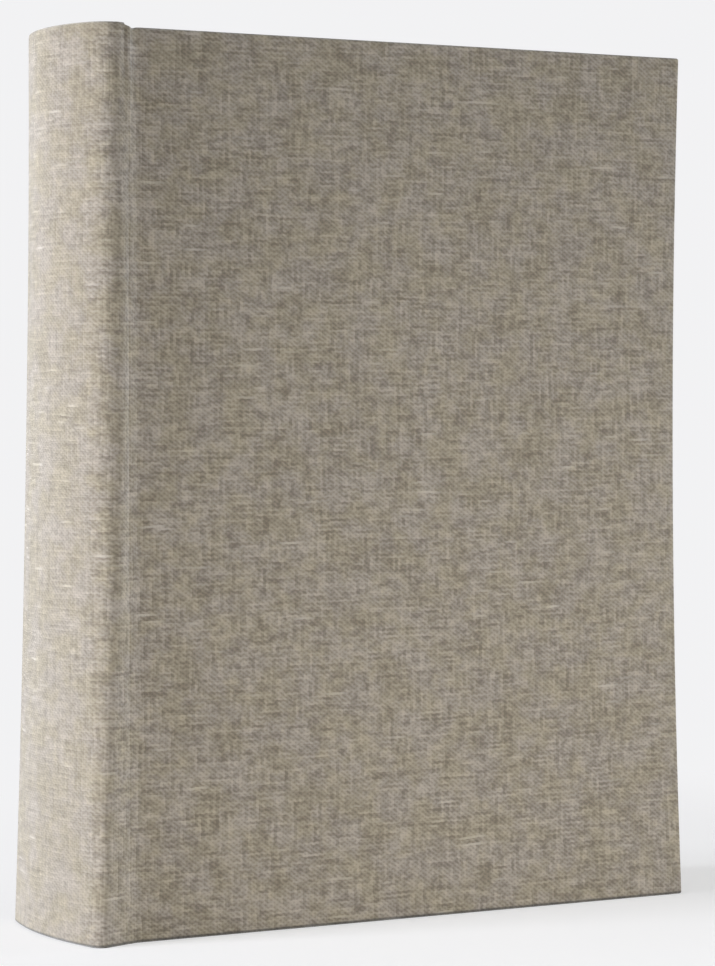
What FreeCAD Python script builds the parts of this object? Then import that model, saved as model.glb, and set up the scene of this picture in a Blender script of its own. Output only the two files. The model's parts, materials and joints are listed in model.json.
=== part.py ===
import FreeCAD, Part
import os
from math import acos, asin, atan2, cos, degrees, hypot, sin, sqrt

# A linen-covered photo album that stands on its tail, in millimetres.
# +Z is up, the front cover faces -Y and the spine is at -X.
# The album has spread a little at its tail, so both covers lean in towards the head.
# A section's own measures are s, from the joint towards the fore-edge, and a depth
# inside the outer face.

V = FreeCAD.Vector
FRONT = -1
BACK = 1
SIDES = {"front": FRONT, "back": BACK}

# Whole album
HEIGHT = 228.0                    # covers, tail to head, over the cloth
COVER_WIDTH = 166.5               # from the joint to the fore-edge
TAIL_THICKNESS = 44.4             # over both covers at the tail
LEAN = {FRONT: 1.5, BACK: 5.7}    # how far each cover leans in from tail to head
FORE_EDGE_BOW = 3.4               # how far the middle of a fore-edge is drawn in
HEAD_CROWN = 15.7                 # the spine's outermost line at the head, left of the joint
TAIL_CROWN = 14.4                 # and at the tail, where the spine is spread flatter
SPINE_WAIST = 1.5                 # how far the middle of the spine is drawn in
MIDDLE = (COVER_WIDTH - HEAD_CROWN) / 2     # from the joint to the album's middle

# Materials
CLOTH = 0.5                       # linen book cloth with its paper backing
BOARD = 2.5                       # greyboard of the covers
STIFFENER = 1.0                   # card inside the spine
PAPER = 0.3                       # endpapers and spine lining
GLUE = 0.02                       # glue between two pieces that are stuck together
PASTE = 0.05                      # paste between the cloth joints and the lining

# Covers
JOINT_GAP = 0.3                   # free space each side of the hinge line
LEAF_GAP = 0.5                    # air between a closed cover and its flyleaf
TURN_IN = 15.0                    # cloth folded over onto the inside
EDGE_ROUND = 0.7                  # cloth drawn round the edge of a board
SQUARE = 3.0                      # how far the covers overhang the leaves at head and tail
FORE_SQUARE = 4.0                 # the same at the fore-edge
PASTEDOWN_MARGIN = 3.0            # cloth left showing round the pasted-down endpaper
OVERCUT = 1.0                     # how far a cutting body runs past what it cuts

# Spine
SHOULDER = 3.2                    # how far the shoulders stand proud of the covers
SHOULDER_ROUND = 3.2              # radius of the spine's two long edges
ROUND_FACETS = 6                  # flat facets that make up each of them
BACKING_FACETS = 2                # the same at the lined back of the leaves, where they are sharper
TAIL_ARCH = 88.0                  # radius of the spine's back at the tail
HEAD_ARCH = 31.5                  # and at the head, where the album is thinner and rounder
SPINE_EXTRA = 0.5                 # the spine's head stands this much above the covers
JOINT_LIFT = 0.2                  # the cloth's height over the cover where the joint ends
STRIP_INSET = 1.0                 # how far the spine's card stops short of its long edges
HOLLOW = 0.5                      # air between the spine and the lined back of the leaves
LEAF_SET_BACK = 0.6               # the leaves' shoulders behind the end of the joint
GLUE_WIDTH = 4.0                  # how far up from its end each cloth joint is glued down
BAND_ROUND = 0.9                  # radius of the bead of the head and tail bands
BAND_TAPE = 12.0                  # height of the tape that holds the bead
BAND_OVERLAP = 0.2                # how deep the bead is sewn into its tape

BOARD_FACE = CLOTH + BOARD                      # depth of a board's inner face
COVER_STACK = BOARD_FACE + CLOTH + PAPER        # depth of a cover's inner face
LEAF_DEPTH = COVER_STACK + LEAF_GAP + PAPER     # depth of the first leaf
LINING_DEPTH = CLOTH + STIFFENER + CLOTH + HOLLOW
BACK_DEPTH = LINING_DEPTH + PAPER               # depth of the leaves' back


def hinge_face(side, z):
    """Y of a cover's outer face at its hinge edge, at height z."""
    return side * (TAIL_THICKNESS / 2 - LEAN[side] * z / HEIGHT)


def cover_point(side, s, depth, z):
    """A point s from the joint along a cover and depth inside its outer face."""
    bow = FORE_EDGE_BOW * 4 * z * (HEIGHT - z) / HEIGHT ** 2
    return V(s - MIDDLE, hinge_face(side, z) - side * (bow * s / COVER_WIDTH + depth), z)


def loft(section, z0, z1, ruled=False):
    """A solid through three level sections, curved from one to the next unless it is ruled."""
    return Part.makeLoft([section(z) for z in (z0, (z0 + z1) / 2, z1)], True, ruled)


def slab(side, s_range, z_range, depth_range):
    """A plate of one cover, between two depths inside the cover's outer face."""
    (s0, s1), (d0, d1) = s_range, depth_range

    def section(z):
        corners = ((s0, d0), (s1, d0), (s1, d1), (s0, d1), (s0, d0))
        return Part.makePolygon([cover_point(side, s, depth, z) for s, depth in corners])
    return loft(section, *z_range)


def window(side, inset, depth_range, overcut=OVERCUT):
    """A cutting body that leaves an inset border at head, tail and fore-edge."""
    return slab(side, (-overcut, COVER_WIDTH - inset), (inset, HEIGHT - inset), depth_range)


class SpineSection:
    """The spine at one height: an arch, two round edges and two slopes to the joints.

    A point of it is s from the joint and a from the middle of the spine's thickness.
    """

    def __init__(self, z):
        self.z = z
        rise = z / HEIGHT
        self.arch = TAIL_ARCH + (HEAD_ARCH - TAIL_ARCH) * rise
        crown = TAIL_CROWN + (HEAD_CROWN - TAIL_CROWN) * rise - SPINE_WAIST * 4 * rise * (1 - rise)
        peaks = [hinge_face(side, z) + side * SHOULDER for side in (FRONT, BACK)]
        half = (peaks[1] - peaks[0]) / 2
        self.centre_y = sum(peaks) / 2
        self.arch_s = self.arch - crown
        self.end = (-JOINT_GAP, half - SHOULDER + JOINT_LIFT)
        self._place_round_edge(half)

    def _place_round_edge(self, half):
        """Set the round edge against the arch, and find where it meets arch and slope."""
        across = half - SHOULDER_ROUND
        to_edge = self.arch - SHOULDER_ROUND
        along = sqrt(to_edge ** 2 - across ** 2)
        self.edge = (self.arch_s - along, across)
        self.to_arch = (-along / to_edge, across / to_edge)
        ds, da = self.end[0] - self.edge[0], self.end[1] - self.edge[1]
        reach = hypot(ds, da)
        turn = acos(SHOULDER_ROUND / reach)
        self.to_slope = ((ds * cos(turn) - da * sin(turn)) / reach,
                         (ds * sin(turn) + da * cos(turn)) / reach)

    def point(self, side, s, a):
        return V(s - MIDDLE, self.centre_y + side * a, self.z)

    def on_edge(self, side, towards, depth):
        """A point of the round edge, in the given direction from its centre."""
        r = SHOULDER_ROUND - depth
        return self.point(side, self.edge[0] + towards[0] * r, self.edge[1] + towards[1] * r)

    def on_slope(self, side, depth, back_off=0.0):
        """The end of the slope at the joint, or a point back_off before it."""
        s = self.end[0] - self.to_slope[0] * depth - self.to_slope[1] * back_off
        a = self.end[1] - self.to_slope[1] * depth + self.to_slope[0] * back_off
        return self.point(side, s, a)

    def arch_edge(self, depth, inset=0.0):
        """The arch, stopped an inset short of each round edge."""
        turn = asin(self.to_arch[1]) - inset / self.arch
        r = self.arch - depth
        ends = [self.point(side, self.arch_s - r * cos(turn), r * sin(turn)) for side in (FRONT, BACK)]
        return Part.Arc(ends[0], self.point(BACK, self.arch_s - r, 0.0), ends[1]).toShape()

    def round_edge(self, side, depth, facets):
        """The round edge in narrow flat facets, from the slope to the arch."""
        first, last = [atan2(*towards[::-1]) for towards in (self.to_slope, self.to_arch)]
        turns = [first + (last - first) * i / facets for i in range(facets + 1)]
        points = [self.on_edge(side, (cos(turn), sin(turn)), depth) for turn in turns]
        return [Part.makeLine(a, b) for a, b in zip(points, points[1:])]

    def outer_run(self, depth):
        """Edges from the front joint round the spine to the back joint, at one depth."""
        front, back = [[Part.makeLine(self.on_slope(side, depth), self.on_edge(side, self.to_slope, depth)),
                        *self.round_edge(side, depth, ROUND_FACETS)] for side in (FRONT, BACK)]
        return front + [self.arch_edge(depth)] + back[::-1]

    def backing_run(self, extra):
        """Edges of the leaves' back: glued joints, flat shoulders, round edges and arch."""
        runs = []
        for side in (FRONT, BACK):
            corners = [self.on_slope(side, CLOTH + extra, LEAF_SET_BACK),
                       self.on_slope(side, CLOTH + extra, GLUE_WIDTH),
                       self.on_edge(side, self.to_slope, LINING_DEPTH + extra)]
            lines = [Part.makeLine(a, b) for a, b in zip(corners, corners[1:])]
            runs.append(lines + self.round_edge(side, LINING_DEPTH + extra, BACKING_FACETS))
        return runs[0] + [self.arch_edge(LINING_DEPTH + extra)] + runs[1][::-1]


def closed(outer, inner):
    """A wire from an outer and an inner run of edges, joined at their ends."""
    ends = [(wire.OrderedVertexes[0].Point, wire.OrderedVertexes[-1].Point)
            for wire in (Part.Wire(outer), Part.Wire(inner))]
    bridges = [Part.makeLine(a, b) for a, b in zip(*ends)]
    return Part.Wire(Part.sortEdges(outer + inner + bridges)[0])


def spine_loft(section, z0, z1):
    """A solid along the spine, cut out of one that runs the whole height.

    All of them are ruled between the same levels, so they keep their distances.
    """
    top = HEIGHT + SPINE_EXTRA
    span = V(2 * HEIGHT, 2 * HEIGHT, z1 - z0)
    room = Part.makeBox(*span, V(-HEIGHT, -HEIGHT, z0))
    return loft(section, 0.0, top, ruled=True).common(room)


def spine_strip(depth_range, z_range, inset=STRIP_INSET):
    """A strip of the spine's arch alone, between two depths."""
    def section(z):
        spine = SpineSection(z)
        return closed(*[[spine.arch_edge(depth, inset)] for depth in depth_range])
    return spine_loft(section, *sorted(z_range))


# Covers

def cover_board(side):
    """The greyboard, with square edges."""
    edge = CLOTH + GLUE
    return slab(side, (JOINT_GAP + edge, COVER_WIDTH - edge), (edge, HEIGHT - edge),
                (edge, BOARD_FACE - GLUE))


def cover_cloth(side):
    """Linen over the board, folded round head, tail and fore-edge onto the inside."""
    wrapped = slab(side, (JOINT_GAP, COVER_WIDTH), (0.0, HEIGHT), (0.0, BOARD_FACE + CLOTH))
    past_joint = JOINT_GAP - MIDDLE + EDGE_ROUND
    wrapped = wrapped.makeFillet(EDGE_ROUND, [e for e in wrapped.Edges if e.BoundBox.XMax > past_joint])
    pocket = window(side, CLOTH, (CLOTH, BOARD_FACE))
    opening = window(side, TURN_IN, (BOARD_FACE - OVERCUT, COVER_STACK + OVERCUT), 2 * OVERCUT)
    return wrapped.cut(pocket).cut(opening)


def cover_pastedown(side):
    """The endpaper on the inside of a board, stepped down inside the folded cloth."""
    margin = PASTEDOWN_MARGIN
    sheet = slab(side, (JOINT_GAP, COVER_WIDTH - margin), (margin, HEIGHT - margin),
                 (BOARD_FACE, COVER_STACK))
    fold = window(side, -OVERCUT, (BOARD_FACE - OVERCUT, BOARD_FACE + CLOTH))
    step = window(side, TURN_IN, (BOARD_FACE - 2 * OVERCUT, COVER_STACK), 2 * OVERCUT)
    sunk = window(side, TURN_IN + PAPER, (BOARD_FACE + PAPER, COVER_STACK + OVERCUT), 3 * OVERCUT)
    return sheet.cut(fold.cut(step)).cut(sunk)


# Leaves, endpapers and what holds the leaves' back

def page_block():
    """All the leaves as one solid, thicker at the spine, with a shoulder each side."""
    fore = COVER_WIDTH - FORE_SQUARE

    def between_covers(z):
        corners = [cover_point(FRONT, 0.0, LEAF_DEPTH, z), cover_point(FRONT, fore, LEAF_DEPTH, z),
                   cover_point(BACK, fore, LEAF_DEPTH, z), cover_point(BACK, 0.0, LEAF_DEPTH, z)]
        return Part.makePolygon(corners + corners[:1])

    def root(z):
        spine = SpineSection(z)
        glued = {side: spine.on_slope(side, CLOTH + PAPER, LEAF_SET_BACK) for side in (FRONT, BACK)}
        s = glued[FRONT].x + MIDDLE
        corners = [glued[FRONT], cover_point(FRONT, s, LEAF_DEPTH, z), cover_point(FRONT, 0.0, LEAF_DEPTH, z),
                   cover_point(BACK, 0.0, LEAF_DEPTH, z), cover_point(BACK, s, LEAF_DEPTH, z), glued[BACK]]
        edges = spine.backing_run(PAPER) + [Part.makeLine(a, b) for a, b in zip(corners, corners[1:])]
        return Part.Wire(Part.sortEdges(edges)[0])
    ends = (SQUARE, HEIGHT - SQUARE)
    return loft(between_covers, *ends).fuse(spine_loft(root, *ends))


def flyleaf(side):
    """The free half of an endpaper, lying on the first or last leaf."""
    return slab(side, (0.0, COVER_WIDTH - FORE_SQUARE), (SQUARE, HEIGHT - SQUARE),
                (LEAF_DEPTH - PAPER, LEAF_DEPTH))


def spine_lining():
    """Gauze and paper glued over the leaves' back and under the cloth joints."""
    def section(z):
        spine = SpineSection(z)
        return closed(spine.backing_run(PASTE), spine.backing_run(PAPER - GLUE))
    return spine_loft(section, SQUARE + BAND_TAPE, HEIGHT - SQUARE - BAND_TAPE)


def end_band(leaf_end, up):
    """A band on the leaves' back at one end, with a bead that lies on the ends of the leaves."""
    rim = leaf_end + up * BAND_ROUND
    tape = spine_strip((LINING_DEPTH, BACK_DEPTH - GLUE), (rim, leaf_end - up * BAND_TAPE))
    spine = SpineSection(rim)
    radius = spine.arch - BACK_DEPTH - BAND_ROUND + BAND_OVERLAP
    turn = degrees(asin(spine.to_arch[1]) - STRIP_INSET / spine.arch)
    axis = spine.point(BACK, spine.arch_s, 0.0)
    bead = Part.makeTorus(radius, BAND_ROUND, axis, V(0, 0, 1), 0, 360, 2 * turn)
    bead.rotate(axis, V(0, 0, 1), 180 - turn)
    return tape.fuse(bead)


# Spine

def spine_stiffener():
    """The card inside the spine's cloth."""
    edge = CLOTH + GLUE
    return spine_strip((edge, CLOTH + STIFFENER), (edge, HEIGHT + SPINE_EXTRA - edge))


def spine_cloth():
    """Linen round the spine and down both joints, folded over the card at head and tail."""
    top = HEIGHT + SPINE_EXTRA
    inside = CLOTH + STIFFENER

    def section(z):
        spine = SpineSection(z)
        return closed(spine.outer_run(0.0), spine.outer_run(CLOTH))
    cloth = loft(section, 0.0, top, ruled=True)
    for end, up in ((0.0, -1), (top, 1)):
        fold = spine_strip((CLOTH / 2, inside + CLOTH), (end, end - up * TURN_IN))
        pocket_levels = (end - up * CLOTH, end - up * 2 * TURN_IN)
        pocket = spine_strip((0.7 * CLOTH, inside + GLUE), pocket_levels, -STRIP_INSET)
        cloth = cloth.fuse(fold.cut(pocket))
    return cloth


def build():
    """Every piece of the album by name."""
    pieces = {
        "page_block": page_block(),
        "spine_lining": spine_lining(),
        "head_band": end_band(HEIGHT - SQUARE, 1),
        "tail_band": end_band(SQUARE, -1),
        "spine_stiffener": spine_stiffener(),
        "spine_cloth": spine_cloth(),
    }
    for name, side in SIDES.items():
        pieces[f"{name}_flyleaf"] = flyleaf(side)
        pieces[f"{name}_board"] = cover_board(side)
        pieces[f"{name}_cloth"] = cover_cloth(side)
        pieces[f"{name}_pastedown"] = cover_pastedown(side)
    return pieces


os.makedirs("parts", exist_ok=True)
for node, shape in build().items():
    print(f"{node}: {round(shape.Volume)} mm3, {len(shape.Solids)} solid, valid {shape.isValid()}")
    shape.exportStep(f"parts/{node}.step")
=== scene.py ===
import json
import logging
import math
from dataclasses import dataclass, field
from enum import Enum
from typing import Optional, Sequence

import bpy
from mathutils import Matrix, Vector


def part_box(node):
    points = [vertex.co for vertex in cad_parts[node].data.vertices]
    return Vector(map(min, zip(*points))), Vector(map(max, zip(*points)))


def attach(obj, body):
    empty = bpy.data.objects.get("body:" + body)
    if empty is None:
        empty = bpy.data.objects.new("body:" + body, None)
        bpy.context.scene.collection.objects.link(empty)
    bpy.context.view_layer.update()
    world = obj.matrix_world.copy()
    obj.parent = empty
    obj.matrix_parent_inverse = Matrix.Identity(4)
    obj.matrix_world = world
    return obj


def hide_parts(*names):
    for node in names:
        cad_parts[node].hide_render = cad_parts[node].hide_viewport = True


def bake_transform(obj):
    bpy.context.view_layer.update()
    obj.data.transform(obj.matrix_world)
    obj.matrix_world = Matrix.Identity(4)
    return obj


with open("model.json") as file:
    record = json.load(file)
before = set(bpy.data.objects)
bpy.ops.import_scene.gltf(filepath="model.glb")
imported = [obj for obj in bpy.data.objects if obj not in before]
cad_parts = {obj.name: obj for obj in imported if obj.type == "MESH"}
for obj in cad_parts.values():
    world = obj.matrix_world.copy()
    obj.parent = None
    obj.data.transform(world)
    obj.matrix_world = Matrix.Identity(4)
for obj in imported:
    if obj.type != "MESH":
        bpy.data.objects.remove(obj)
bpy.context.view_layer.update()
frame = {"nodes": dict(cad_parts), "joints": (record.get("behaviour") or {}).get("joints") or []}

log = logging.getLogger("album")

MM = 0.001
Point = tuple[float, float, float]
Pair = tuple[float, float]
Knot = tuple[Point, Point, Pair]
Colour = tuple[float, float, float, float]
Socket = bpy.types.NodeSocket
Sockets = bpy.types.NodeOutputs


class Named(Enum):
    """A choice whose name is part of its pieces' names."""

    @property
    def label(self) -> str:
        """The name, as the nodes have it."""
        return self.name.lower()


class End(Named):
    """The album's ends, with the share of its height where each one lies."""

    TAIL = 0
    HEAD = 1


class Side(Named):
    """The two covers, with the sign of Y on the side where each one lies."""

    FRONT = -1
    BACK = 1

    @property
    def cover(self) -> str:
        """The body that carries this cover."""
        return f"{self.label}_cover"


class Stretch(Enum):
    """What the spine's outline runs through from a joint to its middle."""

    SLOPE = "slope"
    EDGE = "edge"
    ARCH = "arch"


class Slot(Enum):
    """The record's material slots."""

    LINEN = "linen"
    LEAF_CARD = "leaf_card"
    ENDPAPER = "endpaper"
    GREYBOARD = "greyboard"
    GAUZE = "gauze"
    BAND_COTTON = "band_cotton"


def ease(t: float) -> float:
    """A smooth step from 0 to 1 as t goes from 0 to 1."""
    t = min(max(t, 0.0), 1.0)
    return t * t * (3 - 2 * t)


def mix(a: float, b: float, t: float) -> float:
    """The value a share t of the way from a to b."""
    return a + (b - a) * t


def spread(start: float, end: float, count: int) -> list[float]:
    """Evenly spaced values, both ends included."""
    return [mix(start, end, i / (count - 1)) for i in range(count)]


def hump(x: float, centre: float, width: float) -> float:
    """A bell curve of height 1."""
    return math.exp(-((x - centre) / width) ** 2)


# The album's form

@dataclass(frozen=True)
class Album:
    """Driving sizes of the whole album, in metres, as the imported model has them.

    A point of a cover is s from the joint towards the fore-edge, depth inside the outer
    face, and z above the tail.
    """

    height: float
    cover_width: float
    middle: float
    tail_thickness: float
    lean: dict[Side, float]
    tail_crown: float = 14.4 * MM
    spine_waist: float = 1.5 * MM
    fore_edge_bow: float = 3.4 * MM
    cloth: float = 0.5 * MM
    board: float = 2.5 * MM
    stiffener: float = 1.0 * MM
    paper: float = 0.3 * MM
    joint_gap: float = 0.3 * MM
    leaf_gap: float = 0.5 * MM
    turn_in: float = 15.0 * MM
    edge_round: float = 0.7 * MM
    square: float = 3.0 * MM
    fore_square: float = 4.0 * MM
    pastedown_margin: float = 3.0 * MM
    shoulder: float = 3.2 * MM
    shoulder_round: float = 3.2 * MM
    soft_shoulder: float = 2.2 * MM
    soft_round: float = 6.0 * MM
    soft_rise: float = 0.6
    tail_arch: float = 88.0 * MM
    head_arch: float = 31.5 * MM
    spine_extra: float = 0.5 * MM
    joint_lift: float = 0.2 * MM
    hollow: float = 0.5 * MM
    strip_inset: float = 1.0 * MM
    band_round: float = 0.9 * MM
    band_tape: float = 12.0 * MM

    @classmethod
    def from_frame(cls) -> "Album":
        """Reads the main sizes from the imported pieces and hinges.

        Returns:
            The album's form.
        """
        low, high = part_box("front_cloth")
        hinges = {j["child"]: j for j in frame["joints"]}
        lean = {}
        for side in Side:
            axis = hinges[side.cover]["axis"]
            lean[side] = abs(axis[1] / axis[2]) * high.z
        joint_x = hinges[Side.FRONT.cover]["pos_m"][0]
        return cls(height=high.z, cover_width=high.x - joint_x, middle=-joint_x,
                   tail_thickness=-2 * low.y, lean=lean)

    @property
    def head_crown(self) -> float:
        """How far the spine's outermost line lies from the joint, at the head."""
        return self.cover_width - 2 * self.middle

    @property
    def board_face(self) -> float:
        """Depth of a board's inner face."""
        return self.cloth + self.board

    @property
    def cover_stack(self) -> float:
        """Depth of a cover's inner face, where the endpaper lies on the turned-in cloth."""
        return self.board_face + self.cloth + self.paper

    @property
    def leaf_depth(self) -> float:
        """Depth of the first leaf."""
        return self.cover_stack + self.leaf_gap + self.paper

    @property
    def lining_depth(self) -> float:
        """Depth of the lined back of the leaves, inside the spine's outer face."""
        return self.cloth + self.stiffener + self.cloth + self.hollow

    @property
    def back_depth(self) -> float:
        """Depth of the leaves' back, inside the spine's outer face."""
        return self.lining_depth + self.paper

    def hinge_face(self, side: Side, z: float) -> float:
        """Y of a cover's outer face at its hinge edge, at height z."""
        return side.value * (self.tail_thickness / 2 - self.lean[side] * z / self.height)

    def cover_point(self, side: Side, s: float, depth: float, z: float) -> Point:
        """A point of a cover, in the album's frame.

        Args:
            side: The cover's side.
            s: Distance from the joint towards the fore-edge.
            depth: Depth inside the outer face.
            z: Height above the tail.

        Returns:
            The point.
        """
        bow = self.fore_edge_bow * 4 * z * (self.height - z) / self.height ** 2
        y = self.hinge_face(side, z) - side.value * (bow * s / self.cover_width + depth)
        return (s - self.middle, y, z)


@dataclass(frozen=True)
class JointForm:
    """How the glued linen lies over a joint, as heights over the plain faces, in metres.

    Shares of these sizes hold at the tail, further up and near the head, and the rises say
    how soon they are reached up the album.
    """

    swell: float = 0.60 * MM
    cover_reach: float = 16.0 * MM
    spine_flat: float = 0.7 * MM
    spine_reach: float = 6.5 * MM
    settle: float = 1.8 * MM
    ridge: float = 0.30 * MM
    ridge_at: float = -0.3 * MM
    ridge_width: float = 0.9 * MM
    dip: float = 0.16 * MM
    dip_at: float = 2.5 * MM
    dip_width: float = 1.5 * MM
    sink: float = 0.18 * MM
    sink_edge: float = 3.0 * MM
    crease: float = 0.55 * MM
    crease_at: float = -1.7 * MM
    crease_width: float = 0.9 * MM
    head_sag: float = 0.35 * MM
    head_sag_at: float = 1.4 * MM
    head_sag_width: float = 0.9 * MM
    head_start: float = 0.86
    head_span: float = 0.12
    tail_swell: float = 0.65
    swell_rise: float = 1.3
    tail_edge: float = 1.3
    tail_dip: float = 0.7
    upper_ridge: float = 0.2
    ridge_rise: float = 1.6
    ridge_wait: float = 0.5
    head_ridge: float = 1.3

    def relief(self, s: float, z_share: float) -> float:
        """Height of the linen over the plain face.

        Args:
            s: Distance from the hinge, negative on the spine.
            z_share: Height as a share of the album's.

        Returns:
            The height, outwards.
        """
        near_head = ease((z_share - self.head_start) / self.head_span)
        sink = self.sink * z_share
        swell = self.swell * mix(self.tail_swell, 1.0, ease(z_share * self.swell_rise))
        if s > 0:
            edge = mix(self.tail_edge, 1.0, z_share) * self.sink_edge
            swell = (swell + sink) * (1 - ease(s / edge)) - sink * (1 - ease(s / self.cover_reach))
        else:
            swell *= 1 - ease((-s - self.spine_flat) / self.spine_reach)
        upper = self.upper_ridge * ease(z_share * self.ridge_rise - self.ridge_wait)
        ridge = self.ridge * (upper + self.head_ridge * near_head)
        dip = self.dip * mix(self.tail_dip, 1.0, z_share)
        return (swell + ridge * hump(s, self.ridge_at, self.ridge_width)
                - dip * hump(s, self.dip_at, self.dip_width)
                - self.crease * near_head * hump(s, self.crease_at, self.crease_width))

    def head_drop(self, s: float) -> float:
        """How far the linen's head sags where no board holds it up."""
        return self.head_sag * hump(s, self.head_sag_at, self.head_sag_width)


class SpineSection:
    """The spine at one height: an arch, two round edges and two slopes to the joints.

    A point of it is s from the joint and a from the middle of the spine's thickness.
    """

    def __init__(self, album: Album, z: float, soft: bool = False) -> None:
        """Places the arch, the round edges and the slopes.

        Args:
            album: The album's form.
            z: Height over the tail.
            soft: Whether the round edges grow broad and low upwards, as on the front's linen.
        """
        self.album = album
        self.z = z
        rise = z / album.height
        softness = ease(rise / album.soft_rise) if soft else 0.0
        shoulder = mix(album.shoulder, album.soft_shoulder, softness)
        self.radius = mix(album.shoulder_round, album.soft_round, softness)
        self.arch = mix(album.tail_arch, album.head_arch, rise)
        crown = mix(album.tail_crown, album.head_crown, rise) - album.spine_waist * 4 * rise * (1 - rise)
        peaks = [album.hinge_face(side, z) + side.value * shoulder for side in Side]
        half = (peaks[1] - peaks[0]) / 2
        self.centre_y = sum(peaks) / 2
        self.arch_s = self.arch - crown
        self.end = (-album.joint_gap, half - shoulder + album.joint_lift)
        self._place_round_edge(half)

    def _place_round_edge(self, half: float) -> None:
        """Sets the round edge against the arch, and finds where it meets arch and slope.

        Args:
            half: Distance from the spine's middle to the round edge's outermost line.
        """
        across = half - self.radius
        to_edge = self.arch - self.radius
        self.edge = (self.arch_s - math.sqrt(to_edge ** 2 - across ** 2), across)
        self.half_sweep = math.asin(across / to_edge)
        self.arch_turn = math.pi - self.half_sweep
        ds, da = self.end[0] - self.edge[0], self.end[1] - self.edge[1]
        self.slope_turn = math.atan2(da, ds) + math.acos(self.radius / math.hypot(ds, da))

    def point(self, side: Side, s: float, a: float) -> Point:
        """A point of this section in the album's frame."""
        return (s - self.album.middle, self.centre_y + side.value * a, self.z)

    def on_slope(self, side: Side, t: float, depth: float) -> Point:
        """A point of the slope.

        Args:
            side: The slope's side.
            t: Share of the way from the joint to the round edge.
            depth: Depth inside the outer face.

        Returns:
            The point, in the album's frame.
        """
        cs, sn = math.cos(self.slope_turn), math.sin(self.slope_turn)
        foot = [c + n * self.radius for c, n in zip(self.edge, (cs, sn))]
        s = mix(self.end[0], foot[0], t) - cs * depth
        a = mix(self.end[1], foot[1], t) - sn * depth
        return self.point(side, s, a)

    def on_edge(self, side: Side, t: float, depth: float) -> Point:
        """A point of the round edge.

        Args:
            side: The edge's side.
            t: Share of the way from the slope to the arch.
            depth: Depth inside the outer face.

        Returns:
            The point, in the album's frame.
        """
        turn = mix(self.slope_turn, self.arch_turn, t)
        radius = self.radius - depth
        return self.point(side, self.edge[0] + radius * math.cos(turn),
                          self.edge[1] + radius * math.sin(turn))

    def on_arch(self, t: float, depth: float, inset: float = 0.0) -> Point:
        """A point of the arch.

        Args:
            t: Place along the arch, from the front at -1 to the back at 1.
            depth: Depth inside the outer face.
            inset: Length that is left out at each end.

        Returns:
            The point, in the album's frame.
        """
        turn = t * (self.half_sweep - inset / self.arch)
        radius = self.arch - depth
        return self.point(Side.BACK, self.arch_s - radius * math.cos(turn), radius * math.sin(turn))


# Meshes

class SheetMesh:
    """A closed mesh of a sheet, kept as pairs of points on its two faces.

    Patches share the vertices that they meet at. Open edges get a wall at build time.
    """

    GRAIN = 1e-7

    def __init__(self) -> None:
        """Starts an empty sheet."""
        self.outer: list[Point] = []
        self.inner: list[Point] = []
        self.faces: list[tuple[int, ...]] = []
        self.uvs: list[tuple[Pair, ...]] = []
        self._known: dict[tuple[int, ...], int] = {}

    def vertex(self, outer: Point, inner: Point) -> int:
        """Finds a pair of points, or adds it.

        Args:
            outer: The point on the outer face, which tells the pairs apart.
            inner: The point on the inner face.

        Returns:
            The pair's index.
        """
        key = tuple(round(c / self.GRAIN) for c in outer)
        if key not in self._known:
            self._known[key] = len(self.outer)
            self.outer.append(outer)
            self.inner.append(inner)
        return self._known[key]

    def patch(self, rows: Sequence[Sequence[Knot]], flip: bool = False) -> None:
        """Adds a grid of faces.

        Args:
            rows: Rows of outer point, inner point and place on the flat cloth.
            flip: Turns the faces over.
        """
        index = [[self.vertex(outer, inner) for outer, inner, _ in row] for row in rows]
        for j in range(len(rows) - 1):
            for i in range(len(rows[j]) - 1):
                ring = [(j, i), (j, i + 1), (j + 1, i + 1), (j + 1, i)]
                corners: list[tuple[int, Pair]] = []
                for r, c in ring[::-1] if flip else ring:
                    if index[r][c] not in [k for k, _ in corners]:
                        corners.append((index[r][c], rows[r][c][2]))
                if len(corners) > 2:
                    self.faces.append(tuple(k for k, _ in corners))
                    self.uvs.append(tuple(uv for _, uv in corners))

    def _open_edges(self) -> list[tuple[int, int, Pair, Pair]]:
        """Every edge that has one face.

        Returns:
            Both indices in that face's direction, and their places on the flat cloth.
        """
        edges = {}
        for face, uvs in zip(self.faces, self.uvs):
            for k, a in enumerate(face):
                b = face[(k + 1) % len(face)]
                edges[(a, b)] = (uvs[k], uvs[(k + 1) % len(face)])
        return [(a, b, *uv) for (a, b), uv in edges.items() if (b, a) not in edges]

    def build(self, name: str, material: bpy.types.Material) -> bpy.types.Object:
        """Makes the closed mesh and its object.

        Args:
            name: The object's name.
            material: Its finish.

        Returns:
            The new object, at the origin.
        """
        count = len(self.outer)
        faces, uvs = list(self.faces), list(self.uvs)
        for face, uv in zip(self.faces, self.uvs):
            faces.append(tuple(k + count for k in reversed(face)))
            uvs.append(tuple(reversed(uv)))
        for a, b, uv_a, uv_b in self._open_edges():
            faces.append((b, a, a + count, b + count))
            uvs.append((uv_b, uv_a, uv_a, uv_b))
        return plain_mesh(name, self.outer + self.inner, faces, material, uvs)


CLOTH_MAP = "cloth"


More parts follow.
